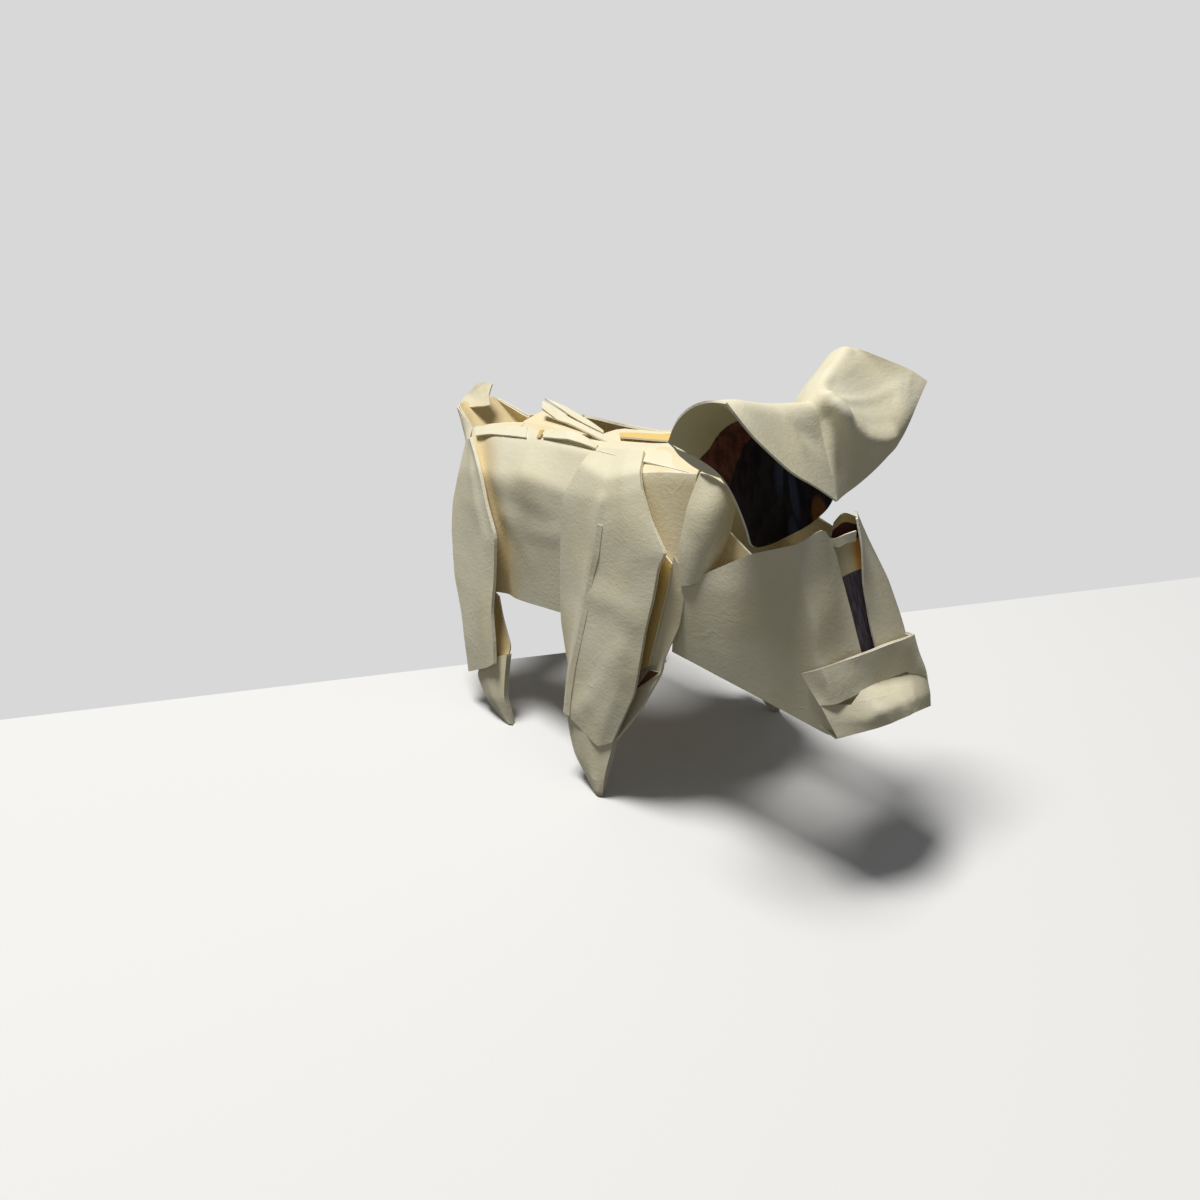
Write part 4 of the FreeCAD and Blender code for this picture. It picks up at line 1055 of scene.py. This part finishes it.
SNOUT_SIDES = [net("""
    50.8 -7.2 27.9, 53.2 -5.7 26.1, 53.9 -4.4 24.8;
    48.7 -11.3 28.5, 50.1 -11 26.5, 51.5 -10.5 24.3
"""), net("""
    51.3 9.2 27, 51.6 9.4 24.6, 52 9.8 21.8;
    49.4 9.8 27.6, 50.2 10 24.8, 51 10 21.9
""")]
CHIN = net("""
    52.3 9.3 22.4, 53.8 3.4 24.2, 54.2 -0.4 24.8, 53.6 -4.3 24.6, 51.2 -10.4 24.1;
    45 10 24.2, 45.2 4 24.8, 45.2 0 25, 44.9 -5 25.1, 44.6 -9.9 24.9
""")
flap("snout", SNOUT, (1, 0, 0), stack=0.5, layers=2, air=0.1, dents=0.20, facets=4.5, seed=54.0,
     sharp=0.75)
flap("snout_disc", SNOUT_DISC, (1, 0, 1), dents=0.14, facets=4.0, seed=56.0, sharp=0.8, cell=1.4,
     creases=runs([(0.3, 1.4, "51.4 -2.6 28.4, 54.2 1 25.4")]))
for rows in SNOUT_SIDES:
    flap("snout_side", rows, (0.3, rows[1][0][1], 0), dents=0.05, seed=57.0)
flap("chin", CHIN, (0, 0, -1), dents=0.1, seed=55.0)
show()

# %% [markdown]
# ## The ears
# Both ears are one hood that runs from cheek to cheek and is pinched on the middle line. Each
# half is drawn by a net of poles: sections across the ear from its back edge, up over the top
# and down to its rim. The right ear hangs low, and its mouth shows the printed inside; the
# left one stands up and rolls over at its crest. A quadratic curve through the net gives the
# spring of bent paper that flat facets can't.

# %% Hood
PINCH = net("""
    30.8 0 44.4, 28.6 0 55, 30.4 0.2 63.2, 34.4 0.2 66, 36.4 -0.1 60.7, 41 -1.8 53.3
""")[0]
RIGHT_EAR = net("""
    33.6 -9.8 45.2, 29.6 -4 55.5, 30.3 -4 63.8, 33.4 -4 66.2, 37.2 -5.2 61.6, 41 -5.8 56.2;
    33.4 -11 49.6, 28.6 -8 58.5, 30 -8 64.8, 33.4 -8.2 67, 37.4 -9.6 62.6, 40.8 -11 59.2;
    31.6 -13.6 56.6, 28.2 -12 62, 30.6 -12 66.4, 34.2 -12 67.8, 37.8 -13 64.2, 40.4 -14.2 62;
    30.4 -17.8 60.2, 28.6 -16.8 63.6, 31.2 -16.6 67.6, 35 -16.5 69, 37.6 -17 67, 38.8 -17.8 65.6;
    26.9 -20 62, 27.6 -20 64.6, 30.6 -20 67.5, 33.4 -20 68.8, 35.6 -20 69.3, 37 -20 69.4
""")
LEFT_EAR = net("""
    31.2 1.6 44.8, 26.4 1.8 58, 31 2 66, 34.9 1.6 66.7, 38 1.3 65.5, 39 1.5 52.6;
    31.8 4.8 45.7, 24.4 5 61, 31.2 5 68.4, 34.6 5.2 65.3, 39.6 2.8 63, 39.7 4.3 54;
    31.9 9.8 48, 23.6 9.5 63.6, 30.2 9.8 70, 34.2 9.6 64.6, 40 6.2 60.6, 39.8 8.4 55.8;
    30.2 12.4 55.5, 24.4 11.6 66.6, 29 13 71, 34.3 14 64.4, 40.2 10 59.6, 39.3 12.6 57.8;
    28 12.5 62, 25.8 12.2 67.4, 28.6 13.4 70.8, 34.2 17 65.8, 39.2 15 60.4, 38.7 15.4 59.2;
    26.5 13 63, 26.8 12.5 67.5, 28.8 13.6 70.2, 33.4 17.2 68.2, 36.4 19.2 66.9, 38.2 20.2 65.6
""")
EAR_LIP = net("""
    26.7 -19.9 62.1, 27.8 -19.1 61.1, 29.3 -18.1 60.5, 30.1 -16.6 59.8, 31 -14.2 57.4;
    26.9 -19.9 61.9, 27.9 -18.9 60.2, 29 -17.4 58.7, 29.8 -16 57.7, 30.8 -14 56.8
""")
right_creases = runs([(-0.34, 1.8, "36.6 -4.4 62.6, 37.4 -1.4 60.4"),
                      (0.25, 1.3, "34.8 -6.4 65, 37.8 -6 60.6")])
left_creases = runs([
    (0.5, 1.5, "35 1.5 66.5, 32.7 3.6 67.2, 31.2 6.4 68.1, 29.9 10.3 69.2, 29.3 12.6 69.9"),
    (0.28, 1.1, """35.3 2 66, 35.7 4 65.2, 35.5 8.1 64.4, 35.4 12.1 64.1, 35.5 15.1 64.7,
                   36.8 17.8 65.5"""),
    (0.8, 2.4, """36 1.4 66.2, 37.2 1.7 65, 38.5 3.2 62.5, 39.3 5.5 60.2, 39.6 9.1 59.2,
                  39.5 11.4 59.2"""),
    (0.5, 1.7, "36.3 1.5 65.9, 37.8 2.2 63.8"),
    (-0.6, 2.0, "36.6 0.9 63.8, 38.4 1.4 60, 39.3 1.6 56")])
ear_look = dict(stack=0.34, curled="across along", dents=0.10, seed=60.0, cell=1.25,
                inside=printed, shared=True)
flap("right_ear", [PINCH] + RIGHT_EAR, (0, -0.4, 1), creases=right_creases, **ear_look)
flap("left_ear", [PINCH] + LEFT_EAR, (0, 0.4, 1), creases=left_creases, u_span=-1.0, **ear_look)
flap("ear_lip", EAR_LIP, (0, -1, 0), stack=0.34, dents=0.03, seed=62.0, cell=1.9)
show()

# %% [markdown]
# ## One piece
# The flaps are joined into a single mesh, because the real thing is a single sheet. Anything
# pressed below the table is set down on it. The piece then takes the place of the plain CAD
# solid and rides on the model's only body.

# %% Join
LOWEST = 0.00002

flaps = [bpy.data.objects.new(name, mesh) for name, mesh in finished]
for made in flaps:
    bpy.context.collection.objects.link(made)
for made in bpy.context.view_layer.objects:
    made.select_set(made in flaps)
pig = bpy.context.view_layer.objects.active = flaps[0]
bpy.ops.object.join()
pig.name = pig.data.name = "folded_pig"
co = np.empty(len(pig.data.vertices) * 3)
pig.data.vertices.foreach_get("co", co)
co = co.reshape(-1, 3)
co[:, 2] = np.maximum(co[:, 2], LOWEST)
pig.data.vertices.foreach_set("co", co.ravel())
pig.data.update()
triangles = sum(len(face.vertices) - 2 for face in pig.data.polygons)
print("folded_pig: %d triangles, x %.4f to %.4f, y %.4f to %.4f, z %.4f to %.4f"
      % (triangles, *(v for axis in co.T for v in (axis.min(), axis.max()))))

# %% Ride
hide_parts("origami_pig")
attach(pig, "root")

# %% Finish
import json
